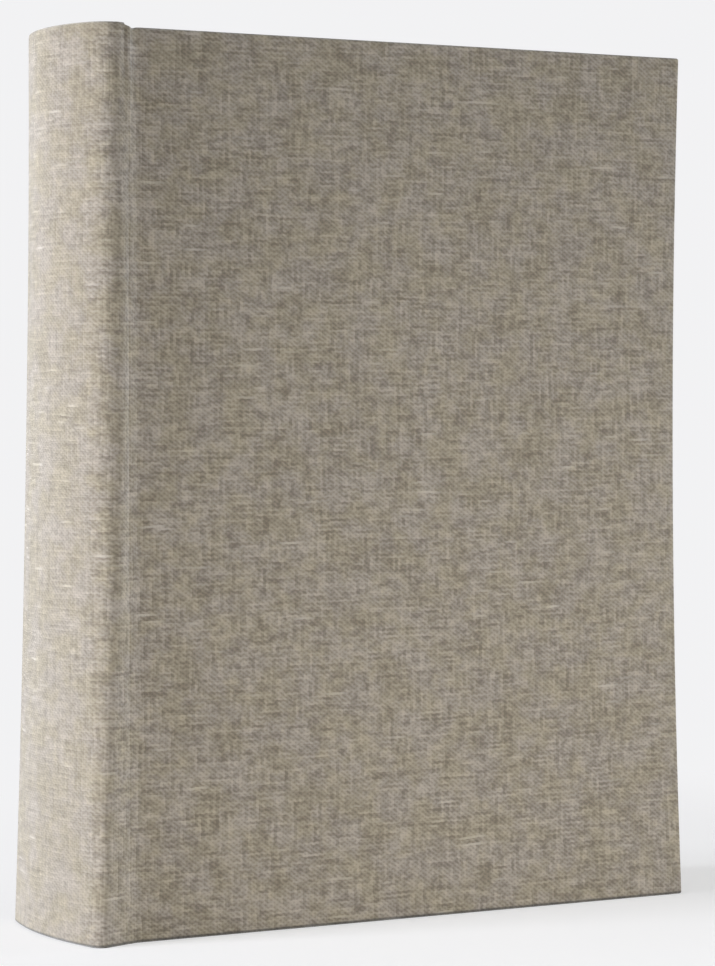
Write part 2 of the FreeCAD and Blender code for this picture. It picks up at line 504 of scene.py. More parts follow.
def plain_mesh(name: str, points: Sequence[Point], faces: Sequence[Sequence[int]],
               material: bpy.types.Material, uvs: Sequence[Sequence[Pair]] = ()) -> bpy.types.Object:
    """Makes a smooth-shaded mesh object and links it.

    Args:
        name: The object's name.
        points: The vertices.
        faces: Vertex numbers of each face.
        material: Its finish.
        uvs: A place on the flat cloth for each corner of each face.

    Returns:
        The new object, at the origin.
    """
    mesh = bpy.data.meshes.new(name)
    mesh.from_pydata(points, [], faces)
    if uvs:
        layer = mesh.uv_layers.new(name=CLOTH_MAP)
        layer.data.foreach_set("uv", [c for face in uvs for uv in face for c in uv])
    mesh.shade_smooth()
    mesh.validate()
    mesh.materials.append(material)
    piece = bpy.data.objects.new(name, mesh)
    bpy.context.scene.collection.objects.link(piece)
    return piece


def sharpen(piece: bpy.types.Object, degrees: float) -> None:
    """Marks edges sharper than an angle, so that flat faces stay flat."""
    piece.data.set_sharp_from_angle(angle=math.radians(degrees))


def bend(piece: bpy.types.Object) -> None:
    """Bakes a piece's placement into its mesh.

    Args:
        piece: The piece.
    """
    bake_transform(piece)


# Node trees

class Nodes:
    """Short calls that add nodes to a shader or geometry tree."""

    def __init__(self, tree: bpy.types.NodeTree) -> None:
        """Works on one tree."""
        self.tree = tree

    def add(self, kind: str, feeds: Optional[dict[object, object]] = None,
            **settings: object) -> bpy.types.Node:
        """Adds a node.

        Args:
            kind: The node's type.
            feeds: A value or a socket for its inputs, by name or number.
            **settings: Its properties.

        Returns:
            The node.
        """
        node = self.tree.nodes.new(kind)
        for name, value in settings.items():
            setattr(node, name, value)
        for key, value in (feeds or {}).items():
            self.feed(node.inputs[key], value)
        return node

    def feed(self, socket: Socket, value: object) -> None:
        """Links a socket to another one, or sets its value.

        Args:
            socket: The input.
            value: The other socket, or the value.
        """
        if isinstance(value, Socket):
            self.tree.links.new(value, socket)
        else:
            socket.default_value = value

    def math(self, operation: str, *values: object, clamp: bool = False) -> Socket:
        """A Math node of its values."""
        node = self.add("ShaderNodeMath", dict(enumerate(values)), operation=operation, use_clamp=clamp)
        return node.outputs[0]

    def vector(self, *values: object) -> Socket:
        """A vector of three values."""
        return self.add("ShaderNodeCombineXYZ", dict(enumerate(values))).outputs[0]

    def split(self, vector: object) -> Sockets:
        """The three values of a vector."""
        return self.add("ShaderNodeSeparateXYZ", {0: vector}).outputs

    def total(self, a: object, b: object) -> Socket:
        """The sum of two vectors."""
        return self.add("ShaderNodeVectorMath", {0: a, 1: b}, operation="ADD").outputs[0]

    def scaled(self, vector: object, size: object) -> Socket:
        """A vector times a number."""
        return self.add("ShaderNodeVectorMath", {0: vector, "Scale": size}, operation="SCALE").outputs[0]

    def place(self) -> Socket:
        """The shaded point, in the piece's own coordinates."""
        return self.add("ShaderNodeTexCoord").outputs["Object"]

    def stored(self, name: str, kind: str) -> Socket:
        """The value of a named attribute."""
        return self.add("GeometryNodeInputNamedAttribute", {"Name": name}, data_type=kind).outputs[0]

    def noise(self, vector: object, scale: float, detail: float = 2.0,
              roughness: float = 0.5, colour: bool = False) -> Socket:
        """A noise.

        Args:
            vector: Where it is read.
            scale: Its coarsest patches to the metre, or to the unit of the vector.
            detail: How many finer layers it has.
            roughness: How strongly each finer layer shows.
            colour: Whether three noises are wanted, as a colour.

        Returns:
            A value from 0 to 1, or a colour.
        """
        node = self.add("ShaderNodeTexNoise", {
            "Vector": vector, "Scale": scale, "Detail": detail, "Roughness": roughness})
        return node.outputs["Color" if colour else "Fac"]

    def ramp(self, value: object, low: Pair, high: Pair) -> Socket:
        """A value mapped smoothly from the pair low=(from, to) to the pair high=(from, to)."""
        ends = dict(enumerate((value, low[0], high[0], low[1], high[1])))
        return self.add("ShaderNodeMapRange", ends, interpolation_type="SMOOTHSTEP").outputs[0]

    def blend(self, share: object, a: object, b: object, kind: str = "MIX") -> Socket:
        """Two colours mixed by a share."""
        return self.add("ShaderNodeMix", {0: share, 6: a, 7: b}, data_type="RGBA", blend_type=kind).outputs[2]


def tone(red: float, green: float, blue: float) -> Colour:
    """An opaque colour."""
    return (red, green, blue, 1.0)


class Finish:
    """A named material with a Principled shader, dressed by its subclass."""

    name = "finish"
    roughness = 0.9
    specular = 0.2

    def make(self) -> bpy.types.Material:
        """Makes the material.

        Returns:
            The material.
        """
        material = bpy.data.materials.new(self.name)
        material.use_nodes = True
        nodes = Nodes(material.node_tree)
        shader = material.node_tree.nodes["Principled BSDF"]
        shader.inputs["Roughness"].default_value = self.roughness
        shader.inputs["Specular IOR Level"].default_value = self.specular
        self.dress(nodes, shader)
        return material

    def dress(self, nodes: Nodes, shader: bpy.types.Node) -> None:
        """Adds the colour and the surface."""
        raise NotImplementedError

    @staticmethod
    def surface(nodes: Nodes, shader: bpy.types.Node, colour: object, height: object, depth: float) -> None:
        """Gives the shader its colour and relief.

        Args:
            nodes: The material's nodes.
            shader: Its Principled shader.
            colour: The colour.
            height: Height of the surface, from 0 to 1.
            depth: What a height of 1 stands for, in metres.
        """
        nodes.feed(shader.inputs["Base Color"], colour)
        relief = nodes.add("ShaderNodeBump", {"Height": height, "Distance": depth, "Strength": 1.0})
        nodes.feed(shader.inputs["Normal"], relief.outputs["Normal"])


@dataclass(frozen=True)
class Linen(Finish):
    """Natural linen book cloth in a plain weave, laid out by the piece's cloth map in metres."""

    name: str = "natural_linen"
    roughness: float = 0.95
    specular: float = 0.10
    warp_pitch: float = 0.83 * MM
    weft_pitch: float = 0.61 * MM
    warp_seed: float = 3.7
    weft_seed: float = 9.1
    drift: float = 1.6
    drift_size: float = 11.0 * MM
    wobble: float = 0.62
    wobble_size: float = 2.0 * MM
    dark: Colour = tone(0.262, 0.218, 0.160)
    light: Colour = tone(0.585, 0.520, 0.418)
    slub: Colour = tone(0.660, 0.605, 0.510)
    slub_relief: float = 0.35
    warp_tone: float = 0.68
    weft_tone: float = 0.90
    thread_middle: float = 0.44
    twill: float = 0.145
    twill_reach: float = 2.6
    cross_twill: float = 0.07
    cross_reach: float = -2.0
    patch_size: float = 3.0 * MM
    felt: float = 0.90
    felt_size: float = 1.5 * MM
    cloud: float = 0.10
    middle_tone: float = 0.335
    gap_shade: float = 0.86
    gap_low: float = 0.12
    gap_high: float = 0.62
    relief: float = 0.055 * MM
    mottle_size: float = 9.0 * MM
    mottle_low: float = 0.36
    mottle_high: float = 0.64
    olive: Colour = tone(0.970, 0.955, 0.875)
    grey: Colour = tone(1.010, 1.010, 1.055)
    # Painted contact shadow along the tail edge: its darkest level, its dark width and where it fades out.
    tail_shade: float = 0.34
    tail_line: float = 0.5 * MM
    tail_fade: float = 1.1 * MM
    # Over the middle of the spine's back the threads' tones draw together to this share, and they fade back
    # out further off.
    spine_middle: float = 32.5 * MM
    spine_rubbed: float = 16.0 * MM
    spine_fade: float = 30.0 * MM
    spine_threads: float = 0.62
    sheen: float = 0.5
    sheen_roughness: float = 0.65
    sheen_tint: Colour = tone(0.88, 0.94, 1.0)

    def dress(self, nodes: Nodes, shader: bpy.types.Node) -> None:
        """Weaves the threads and shades them.

        Args:
            nodes: The material's nodes.
            shader: Its Principled shader.
        """
        place = nodes.add("ShaderNodeUVMap", uv_map=CLOTH_MAP).outputs["UV"]
        u, v = self._threads(nodes, place)
        warp, weft = Thread(nodes, u, v, self.warp_seed), Thread(nodes, v, u, self.weft_seed)
        parity = nodes.math("FLOORED_MODULO", nodes.math("ADD", warp.number, weft.number), 2.0)
        sign = nodes.math("MULTIPLY_ADD", parity, -2.0, 1.0)
        warp_height = warp.height(weft.across, sign)
        weft_height = weft.height(warp.across, nodes.math("MULTIPLY", sign, -1.0))
        height = nodes.math("MAXIMUM", warp_height, weft_height)
        share = self._cast(nodes, place, u, v)
        for thread, strength in ((warp, self.warp_tone), (weft, self.weft_tone)):
            off = nodes.math("SUBTRACT", thread.tone, self.thread_middle)
            share = nodes.math("MULTIPLY_ADD", off, strength, share)
        # The threads' tones draw together over the middle of the spine's back.
        share = nodes.math("MULTIPLY_ADD", nodes.math("SUBTRACT", share, 0.5), self._wear(nodes, place), 0.5)
        colour = nodes.blend(nodes.math("ADD", share, 0.0, clamp=True), self.dark, self.light)
        colour = nodes.blend(weft.slub, colour, self.slub)
        colour = self._mottle(nodes, place, colour)
        gap = nodes.ramp(height, (self.gap_low, self.gap_shade), (self.gap_high, 1.0))
        # Painted shade: the contact shadow along the tail edge darkens the colour, together with the painted
        # gap shade.
        gap = nodes.math("MULTIPLY", gap, self._tail(nodes, place))
        colour = nodes.blend(1.0, colour, nodes.vector(gap, gap, gap), "MULTIPLY")
        shader.inputs["Diffuse Roughness"].default_value = 1.0
        shader.inputs["Sheen Weight"].default_value = self.sheen
        shader.inputs["Sheen Roughness"].default_value = self.sheen_roughness
        shader.inputs["Sheen Tint"].default_value = self.sheen_tint
        height = nodes.math("ADD", height, nodes.math("MULTIPLY", weft.slub, self.slub_relief))
        self.surface(nodes, shader, colour, height, self.relief)

    def _cast(self, nodes: Nodes, place: object, u: object, v: object) -> Socket:
        """The tones of over and under crossings, whose rows run diagonally, and felted fibres.

        Args:
            nodes: The material's nodes.
            place: Place on the flat cloth.
            u: Count of threads across the cloth.
            v: Count of threads up the cloth.

        Returns:
            A share of the light tone, about its middle.
        """
        fibres = nodes.noise(place, 1 / self.felt_size, detail=3.0, roughness=0.7)
        clouds = nodes.noise(place, 1 / self.mottle_size, detail=1.5, roughness=0.5)
        total = nodes.math("MULTIPLY_ADD", fibres, self.felt, self.middle_tone - (self.felt + self.cloud) / 2)
        total = nodes.math("MULTIPLY_ADD", clouds, self.cloud, total)
        patches = nodes.noise(place, 1 / self.patch_size, detail=2.0)
        for kind, strength, reach in (("ADD", self.twill, self.twill_reach),
                                      ("SUBTRACT", self.cross_twill, self.cross_reach)):
            wave = nodes.math("COSINE", nodes.math("MULTIPLY", nodes.math(kind, u, v), math.pi))
            size = nodes.math("MULTIPLY_ADD", patches, reach * strength, strength * (1 - reach / 2))
            total = nodes.math("MULTIPLY_ADD", wave, size, total)
        return total

    def _wear(self, nodes: Nodes, place: object) -> Socket:
        """How strongly the threads' tones show, which is less over the middle of the spine's back, where they
        draw together.
        """
        off = nodes.math("ABSOLUTE", nodes.math("ADD", nodes.split(place)[0], self.spine_middle))
        return nodes.ramp(off, (self.spine_rubbed, self.spine_threads), (self.spine_fade, 1.0))

    def _tail(self, nodes: Nodes, place: object) -> Socket:
        """Painted contact shadow: a dark line along the tail's rounded edge, where the album stands on the
        floor.
        """
        off = nodes.math("ABSOLUTE", nodes.split(place)[1])
        return nodes.ramp(off, (self.tail_line, self.tail_shade), (self.tail_fade, 1.0))

    def _threads(self, nodes: Nodes, place: object) -> list[Socket]:
        """Counts threads across and up the cloth, with their unevenness.

        Args:
            nodes: The material's nodes.
            place: Place on the flat cloth.

        Returns:
            The count across and the count up.
        """
        flat = nodes.split(place)
        drift = nodes.split(nodes.noise(place, 1 / self.drift_size, detail=2.0, colour=True))
        wobble = nodes.split(nodes.noise(place, 1 / self.wobble_size, detail=1.0, colour=True))
        counted = []
        for axis, pitch in ((0, self.warp_pitch), (1, self.weft_pitch)):
            count = nodes.math("DIVIDE", flat[axis], pitch)
            count = nodes.math("MULTIPLY_ADD", drift[axis], self.drift, count)
            counted.append(nodes.math("MULTIPLY_ADD", wobble[axis], self.wobble, count))
        return counted

    def _mottle(self, nodes: Nodes, place: object, colour: object) -> Socket:
        """Tints the cloth in soft patches, olive in some and grey in others.

        Args:
            nodes: The material's nodes.
            place: Place on the flat cloth.
            colour: The colour to tint.

        Returns:
            The tinted colour.
        """
        patch = nodes.noise(place, 1 / self.mottle_size, detail=3.0, roughness=0.6)
        patch = nodes.ramp(patch, (self.mottle_low, 0.0), (self.mottle_high, 1.0))
        return nodes.blend(1.0, colour, nodes.blend(patch, self.olive, self.grey), "MULTIPLY")


class Thread:
    """One set of parallel threads of a weave: where each lies, how thick and what tone."""

    OWN_STEP = 7.31
    RUN_SHARE, RUN_RATE = 0.50, 0.05
    QUICK_SHARE, QUICK_RATE, QUICK_SEED = 0.84, 0.18, 5.0
    TONE_FROM = 0.30
    SLUB_RATE, SLUB_SEED = 0.06, 11.0
    SLUB_FROM, SLUB_TO, SLUB_MOST = 0.65, 0.79, 0.75
    THICKEN, THIN_HALF = 0.20, 0.36

    def __init__(self, nodes: Nodes, across: object, along: object, seed: float) -> None:
        """Reads the cloth in thread counts across this set and along it.

        Args:
            nodes: The material's nodes.
            across: Count of threads, across the set.
            along: Count of crossing threads, along each thread.
            seed: A number that sets this set's noises apart.
        """
        self.nodes = nodes
        self.number = nodes.math("FLOOR", across)
        self.across = nodes.math("SUBTRACT", nodes.math("SUBTRACT", across, self.number), 0.5)
        self._own = nodes.math("MULTIPLY_ADD", self.number, self.OWN_STEP, seed)
        self._along = along
        run = self._uneven(self.RUN_RATE, seed, 2.0)
        quick = self._uneven(self.QUICK_RATE, seed + self.QUICK_SEED, 2.0)
        slub = self._uneven(self.SLUB_RATE, seed + self.SLUB_SEED, 1.0)
        self.tone = nodes.math("ADD", nodes.math("MULTIPLY", run, self.RUN_SHARE),
                               nodes.math("MULTIPLY", quick, self.QUICK_SHARE))
        self.tone = nodes.ramp(self.tone, (self.TONE_FROM, 0.0), (1.0, 1.0))
        self.slub = nodes.ramp(slub, (self.SLUB_FROM, 0.0), (self.SLUB_TO, self.SLUB_MOST))
        self.half_width = nodes.math("MULTIPLY_ADD", nodes.math("ADD", run, self.slub),
                                     self.THICKEN, self.THIN_HALF)

    def _uneven(self, rate: float, seed: float, detail: float) -> Socket:
        """A noise that each thread has of its own, at a rate along it."""
        along = self.nodes.math("MULTIPLY", self._along, rate)
        return self.nodes.noise(self.nodes.vector(self._own, along, seed), 1.0, detail)

    def height(self, crossing: object, sign: object) -> Socket:
        """Height of the thread, which rides over one crossing thread and under the next.

        Args:
            crossing: Place across the crossing thread, from -0.5 to 0.5.
            sign: 1 where this thread lies on top, and -1 where it lies below.

        Returns:
            A height from 0 to 1.
        """
        nodes = self.nodes
        side = nodes.math("DIVIDE", self.across, self.half_width)
        left = nodes.math("SUBTRACT", 1.0, nodes.math("MULTIPLY", side, side), clamp=True)
        wave = nodes.math("COSINE", nodes.math("MULTIPLY", crossing, math.pi))
        rise = nodes.math("MULTIPLY_ADD", nodes.math("MULTIPLY", wave, sign), 0.5, 0.5)
        return nodes.math("MULTIPLY", nodes.math("SQRT", left), rise)


@dataclass(frozen=True)
class Paper(Finish):
    """Smooth uncoated paper or card, with faint fibres."""

    name: str = "endpaper"
    roughness: float = 0.8
    specular: float = 0.25
    base: Colour = tone(0.80, 0.77, 0.69)
    fibre: Colour = tone(0.72, 0.69, 0.61)
    grain: float = 0.9 * MM
    cloud_size: float = 22 * grain
    relief: float = 0.02 * MM

    def dress(self, nodes: Nodes, shader: bpy.types.Node) -> None:
        """Lays fibres and a faint cloudiness.

        Args:
            nodes: The material's nodes.
            shader: Its Principled shader.
        """
        fibres = nodes.noise(nodes.place(), 1 / self.grain, detail=5.0, roughness=0.7)
        clouds = nodes.noise(nodes.place(), 1 / self.cloud_size, detail=2.0)
        share = nodes.math("ADD", nodes.ramp(fibres, (0.4, 0.0), (0.75, 0.7)),
                           nodes.ramp(clouds, (0.45, 0.0), (0.75, 0.3)), clamp=True)
        self.surface(nodes, shader, nodes.blend(share, self.base, self.fibre), fibres, self.relief)


LEAF_TONE = "leaf_tone"


@dataclass(frozen=True)
class LeafCard(Finish):
    """Off-white card whose tone differs a little from leaf to leaf."""

    name: str = "leaf_card"
    roughness: float = 0.85
    pale: Colour = tone(0.82, 0.79, 0.71)
    warm: Colour = tone(0.70, 0.66, 0.57)
    leaf_share: float = 0.7
    cut_share: float = 0.4
    grain: float = 0.35 * MM
    relief: float = 0.04 * MM

    def dress(self, nodes: Nodes, shader: bpy.types.Node) -> None:
        """Tones each leaf and roughens its cut edges.

        Args:
            nodes: The material's nodes.
            shader: Its Principled shader.
        """
        leaf = nodes.add("ShaderNodeAttribute", attribute_name=LEAF_TONE).outputs["Fac"]
        cut = nodes.noise(nodes.place(), 1 / self.grain, detail=3.0, roughness=0.6)
        share = nodes.math("ADD", nodes.math("MULTIPLY", leaf, self.leaf_share),
                           nodes.math("MULTIPLY", cut, self.cut_share), clamp=True)
        self.surface(nodes, shader, nodes.blend(share, self.pale, self.warm), cut, self.relief)


@dataclass(frozen=True)
class Greyboard(Finish):
    """Bare grey bookbinding board with coarse specks."""

    name: str = "greyboard"
    roughness: float = 0.95
    base: Colour = tone(0.34, 0.32, 0.29)
    fleck: Colour = tone(0.20, 0.19, 0.17)
    pulp_rate: float = 1400.0
    speck_rate: float = 900.0
    relief: float = 0.06 * MM

    def dress(self, nodes: Nodes, shader: bpy.types.Node) -> None:
        """Strews specks through the pulp.

        Args:
            nodes: The material's nodes.
            shader: Its Principled shader.
        """
        pulp = nodes.noise(nodes.place(), self.pulp_rate, detail=4.0, roughness=0.7)
        specks = nodes.ramp(nodes.noise(nodes.place(), self.speck_rate, detail=2.0), (0.60, 0.0), (0.72, 1.0))
        colour = nodes.blend(nodes.ramp(pulp, (0.35, 0.0), (0.7, 0.5)), self.base, self.fleck)
        self.surface(nodes, shader, nodes.blend(specks, colour, self.fleck), pulp, self.relief)


@dataclass(frozen=True)
class Gauze(Finish):
    """Open cotton gauze pasted under thin paper."""

    name: str = "gauze_lining"
    pitch: float = 1.2 * MM
    paste: Colour = tone(0.62, 0.58, 0.50)
    yarn: Colour = tone(0.80, 0.77, 0.70)
    relief: float = 0.08 * MM

    def dress(self, nodes: Nodes, shader: bpy.types.Node) -> None:
        """Rules the yarns both ways over the paste.

        Args:
            nodes: The material's nodes.
            shader: Its Principled shader.
        """
        yarns = []
        for along in nodes.split(nodes.place())[1:3]:
            wave = nodes.math("COSINE", nodes.math("MULTIPLY", along, 2 * math.pi / self.pitch))
            yarns.append(nodes.ramp(wave, (0.2, 0.0), (0.8, 1.0)))
        mesh = nodes.math("MAXIMUM", *yarns)
        self.surface(nodes, shader, nodes.blend(mesh, self.paste, self.yarn), mesh, self.relief)


@dataclass(frozen=True)
class Cotton(Finish):
    """Off-white cotton of the head and tail bands."""

    name: str = "band_cotton"
    base: Colour = tone(0.78, 0.74, 0.64)
    shade: Colour = tone(0.60, 0.55, 0.45)
    fibre_rate: float = 5200.0
    sheen: float = 0.2
    relief: float = 0.05 * MM

    def dress(self, nodes: Nodes, shader: bpy.types.Node) -> None:
        """Twists fine fibres along the thread.

        Args:
            nodes: The material's nodes.
            shader: Its Principled shader.
        """
        fibres = nodes.noise(nodes.place(), self.fibre_rate, detail=3.0, roughness=0.6)
        share = nodes.ramp(fibres, (0.35, 0.0), (0.7, 1.0))
        shader.inputs["Sheen Weight"].default_value = self.sheen
        self.surface(nodes, shader, nodes.blend(share, self.base, self.shade), fibres, self.relief)


# Linen

Profile = tuple[float, float, float]


@dataclass(frozen=True)
class Rim:
    """The profile of linen folded round an edge: an outer round, a wall and an inner round.

    A profile point is n inwards from the edge, a depth below the outer face, and the length
    run along the visible face.
    """

    across: float
    outer_depth: float
    stack: float
    steps: int = 5

    def profile(self, layer: float) -> list[Profile]:
        """Points from the outer face round to the inner face.

        Args:
            layer: Depth inside the cloth, 0 on its visible face.

        Returns:
            Profile points.
        """
        outer, inner = [], []
        wide, deep = self.across - layer, self.outer_depth - layer
        quarter = math.pi / 2 * (self.across + self.outer_depth) / 2
        wall = self.stack - 2 * self.outer_depth
        for i in range(self.steps + 1):
            turn = math.pi / 2 * i / self.steps
            run = quarter * i / self.steps
            outer.append((self.across - wide * math.sin(turn), self.outer_depth - deep * math.cos(turn), run))
            inner.append((self.across - wide * math.cos(turn),
                          self.stack - self.outer_depth + deep * math.sin(turn), quarter + wall + run))
        return outer + inner

    def pairs(self, layer: float, cloth: float, reaches: Sequence[float]) -> list[tuple[Profile, Profile]]:
        """Points on both faces of the cloth, from its outer face to the end of the turn-in.

        Args:
            layer: Thickness of the cloth in the fold.
            cloth: Its thickness on the outer face.
            reaches: Distances of the turn-in's points from the edge.

        Returns:
            Pairs of profile points.
        """
        pairs = list(zip(self.profile(0.0), self.profile(layer)))
        pairs[0] = (pairs[0][0], (self.across, cloth, 0.0))
        run = pairs[-1][0][2]
        for n in reaches:
            length = run + n - self.across
            pairs.append(((n, self.stack, length), (n, self.stack - layer, length)))
        return pairs


@dataclass(frozen=True)
class FaceRows:
    """Heights of the linen's rows, as shares of the face between its two rims."""

    near: tuple[float, ...] = (0.0, 0.003, 0.008, 0.016, 0.03, 0.05)
    middle: int = 19

    def shares(self) -> list[float]:
        """Shares from tail to head, closer together at both ends."""
        between = spread(self.near[-1], 1 - self.near[-1], self.middle)[1:-1]
        return list(self.near) + between + [1 - t for t in reversed(self.near)]


@dataclass
class LinenPart:
    """What the linen's pieces share: form, joint, material and their heads and tails."""

    album: Album
    joint: JointForm
    material: bpy.types.Material
    rows: FaceRows = field(default_factory=FaceRows)
    spine_run: float = 0.0
    extra_end: float = -2.2 * MM
    extra_fade: float = 3.0 * MM
    hem_share: float = 0.9
    sharp: float = 60.0

    def head(self, s: float) -> float:
        """Height of the linen's head edge, s from the hinge."""
        over = self.album.spine_extra * (1 - ease((s - self.extra_end) / self.extra_fade))
        return self.album.height + over - self.joint.head_drop(s)

    def level(self, s: float, end: End, n: float) -> float:
        """Height of a point n inwards from an end's edge."""
        return self.head(s) - n if end is End.HEAD else n

    def lift(self, s: float, z: float) -> float:
        """Height of the linen over a cover's plain face, where it comes down from the spine."""
        left = max(0.0, 1 - (s + self.album.joint_gap) / self.joint.settle)
        return self.album.joint_lift * left ** 2 + self.joint.relief(s, z / self.album.height)

    def flat_height(self, run: float, end: End) -> float:
        """Height on the flat cloth of a point that lies a run past the face, at an end."""
        v = self.album.edge_round - run
        return self.album.height - v if end is End.HEAD else v

    def hem_pairs(self, stack: float) -> list[tuple[Profile, Profile]]:
        """Points of a fold that has no board in it.

        Args:
            stack: The fold's thickness.

        Returns:
            Pairs of profile points, on both faces of the cloth.
        """
        rim = Rim(self.album.edge_round, stack / 2, stack)
        layer = min(self.album.cloth, self.hem_share * stack / 2)
        return rim.pairs(layer, self.album.cloth, (self.album.turn_in,))

    def make(self, sheet: SheetMesh, name: str) -> bpy.types.Object:
        """Makes a piece of linen.

        Args:
            sheet: Its sheet.
            name: Its name.

        Returns:
            The new piece.
        """
        piece = sheet.build(name, self.material)
        sharpen(piece, self.sharp)
        return piece


@dataclass
class SideLinen(LinenPart):
    """What a cover's linen and its joint's linen share."""

    side: Side = Side.FRONT

    def columns(self, inset: float) -> list[float]:
        """Distances of the columns from the hinge, on a row that ends inset from the edge."""
        raise NotImplementedError

    def place(self, s: float, z: float, depth: float) -> Point:
        """A point of the cloth, lifted by the joint's relief."""
        return self.album.cover_point(self.side, s, depth - self.lift(s, z), z)

    def flat(self, s: float, v: float) -> Pair:
        """Where a point lies on the flat cloth, which runs on from cover to spine to cover."""
        return (s if self.side is Side.FRONT else -2 * self.album.joint_gap - self.spine_run - s, v)

    def face(self, sheet: SheetMesh) -> None:
        """Adds the outer face, between the folds at tail and head.

        Args:
            sheet: The sheet to add to.
        """
        rows = []
        edge, cloth = self.album.edge_round, self.album.cloth
        for q in self.rows.shares():
            places = [(s, mix(self.level(s, End.TAIL, edge), self.level(s, End.HEAD, edge), q))
                      for s in self.columns(edge)]
            rows.append([(self.place(s, z, 0.0), self.place(s, z, cloth), self.flat(s, z))
                         for s, z in places])
        sheet.patch(rows, flip=self.side is Side.BACK)

    def fold(self, sheet: SheetMesh, pairs: Sequence[tuple[Profile, Profile]], end: End) -> None:
        """Adds the fold and turn-in along an end.

        Args:
            sheet: The sheet to add to.
            pairs: The fold's points on both faces of the cloth.
            end: Tail or head.
        """
        rows = []
        for pair in pairs:
            v = self.flat_height(pair[0][2], end)
            rows.append([(*(self.place(s, self.level(s, end, n), depth) for n, depth, _ in pair),
                          self.flat(s, v)) for s in self.columns(pair[0][0])])
        sheet.patch(rows, flip=(self.side is Side.FRONT) == (end is End.TAIL))


@dataclass
class CoverLinen(SideLinen):
    """Linen over one board, folded round head, tail and fore-edge onto its inside."""

    start: float = 0.8 * MM
    corner_steps: int = 5
    near_columns: tuple[float, ...] = (0.8, 1.0, 1.25, 1.55, 1.9, 2.3, 2.75, 3.2, 3.8, 4.6,
                                       6.0, 8.0, 11.0, 16.0)
    far_columns: int = 20
    turn_in_row: float = 3.0 * MM

    def __post_init__(self) -> None:
        """Works out the rim and the columns."""
        album = self.album
        self.fore = album.cover_width - album.edge_round
        self.rim = Rim(album.edge_round, album.edge_round, album.board_face + album.cloth)
        self.pairs = self.rim.pairs(album.cloth, album.cloth, (self.turn_in_row, album.turn_in))
        near = [s * MM for s in self.near_columns]
        columns = near + spread(near[-1], self.fore, self.far_columns)[1:]
        self.shares = [(s - self.start) / (self.fore - self.start) for s in columns]

    def columns(self, inset: float) -> list[float]:
        """Distances of the columns from the hinge, on a row that ends inset from the edge."""
        reach = self.album.cover_width - max(inset, self.album.edge_round)
        return [mix(self.start, reach, p) for p in self.shares]

    def place(self, s: float, z: float, depth: float) -> Point:
        """A point of the cloth, lifted by the joint's relief near the outer face."""
        fade = 1 - ease(depth / self.album.edge_round - 0.5)
        return self.album.cover_point(self.side, s, depth - self.lift(s, z) * fade, z)

    def _fore_edge(self, sheet: SheetMesh) -> None:
        """Adds the rim and turn-in along the fore-edge.

        Args:
            sheet: The sheet to add to.
        """
        rows = []
        width, height = self.album.cover_width, self.album.height
        for pair in self.pairs:
            inset = max(pair[0][0], self.album.edge_round)
            levels = [mix(inset, height - inset, q) for q in self.rows.shares()]
            rows.append([(*(self.place(width - n, z, depth) for n, depth, _ in pair),
                          self.flat(self.fore + pair[0][2], z)) for z in levels])
        sheet.patch(rows, flip=self.side is Side.FRONT)

    def _corner(self, sheet: SheetMesh, end: End) -> None:
        """Adds the folded corner between the fore-edge and an end.

        Args:
            sheet: The sheet to add to.
            end: Tail or head.
        """
        rows = []
        album = self.album
        for pair in self.pairs[:2 * (self.rim.steps + 1)]:
            row = []
            for i in range(self.corner_steps + 1):
                turn = math.pi / 2 * i / self.corner_steps
                points = []
                for n, depth, _ in pair:
                    reach = album.edge_round - n
                    z = album.edge_round - reach * math.cos(turn)
                    points.append(self.place(self.fore + reach * math.sin(turn),
                                             album.height - z if end is End.HEAD else z, depth))
                run = pair[0][2]
                row.append((*points, self.flat(self.fore + run * math.sin(turn),
                                               self.flat_height(run * math.cos(turn), end))))
            rows.append(row)
        sheet.patch(rows, flip=(self.side is Side.FRONT) == (end is End.TAIL))

    def build(self) -> bpy.types.Object:
        """Makes the cover's linen and hangs it on its body.

        Returns:
            The new piece.
        """
        sheet = SheetMesh()
        self.face(sheet)
        self._fore_edge(sheet)
        for end in End:
            self.fold(sheet, self.pairs, end)
            self._corner(sheet, end)
        piece = self.make(sheet, f"{self.side.label}_cover_linen")
        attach(piece, self.side.cover)
        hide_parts(f"{self.side.label}_cloth")
        return piece


@dataclass
class JointLinen(SideLinen):
    """The narrow run of linen that bends at a hinge, from the spine to its cover."""

    end: float = 0.8 * MM
    steps: int = 12

    def columns(self, inset: float) -> list[float]:
        """Distances of the columns from the hinge, the same whatever the inset."""
        return spread(-self.album.joint_gap, self.end, self.steps + 1)

    def build(self) -> bpy.types.Object:
        """Makes the strip.

        Returns:
            The new piece.
        """
        sheet = SheetMesh()
        self.face(sheet)
        for end in End:
            self.fold(sheet, self.hem_pairs(2 * self.album.cloth), end)
        piece = self.make(sheet, f"{self.side.label}_joint_linen")
        bend(piece)
        return piece


Station = tuple[Stretch, Side, float]


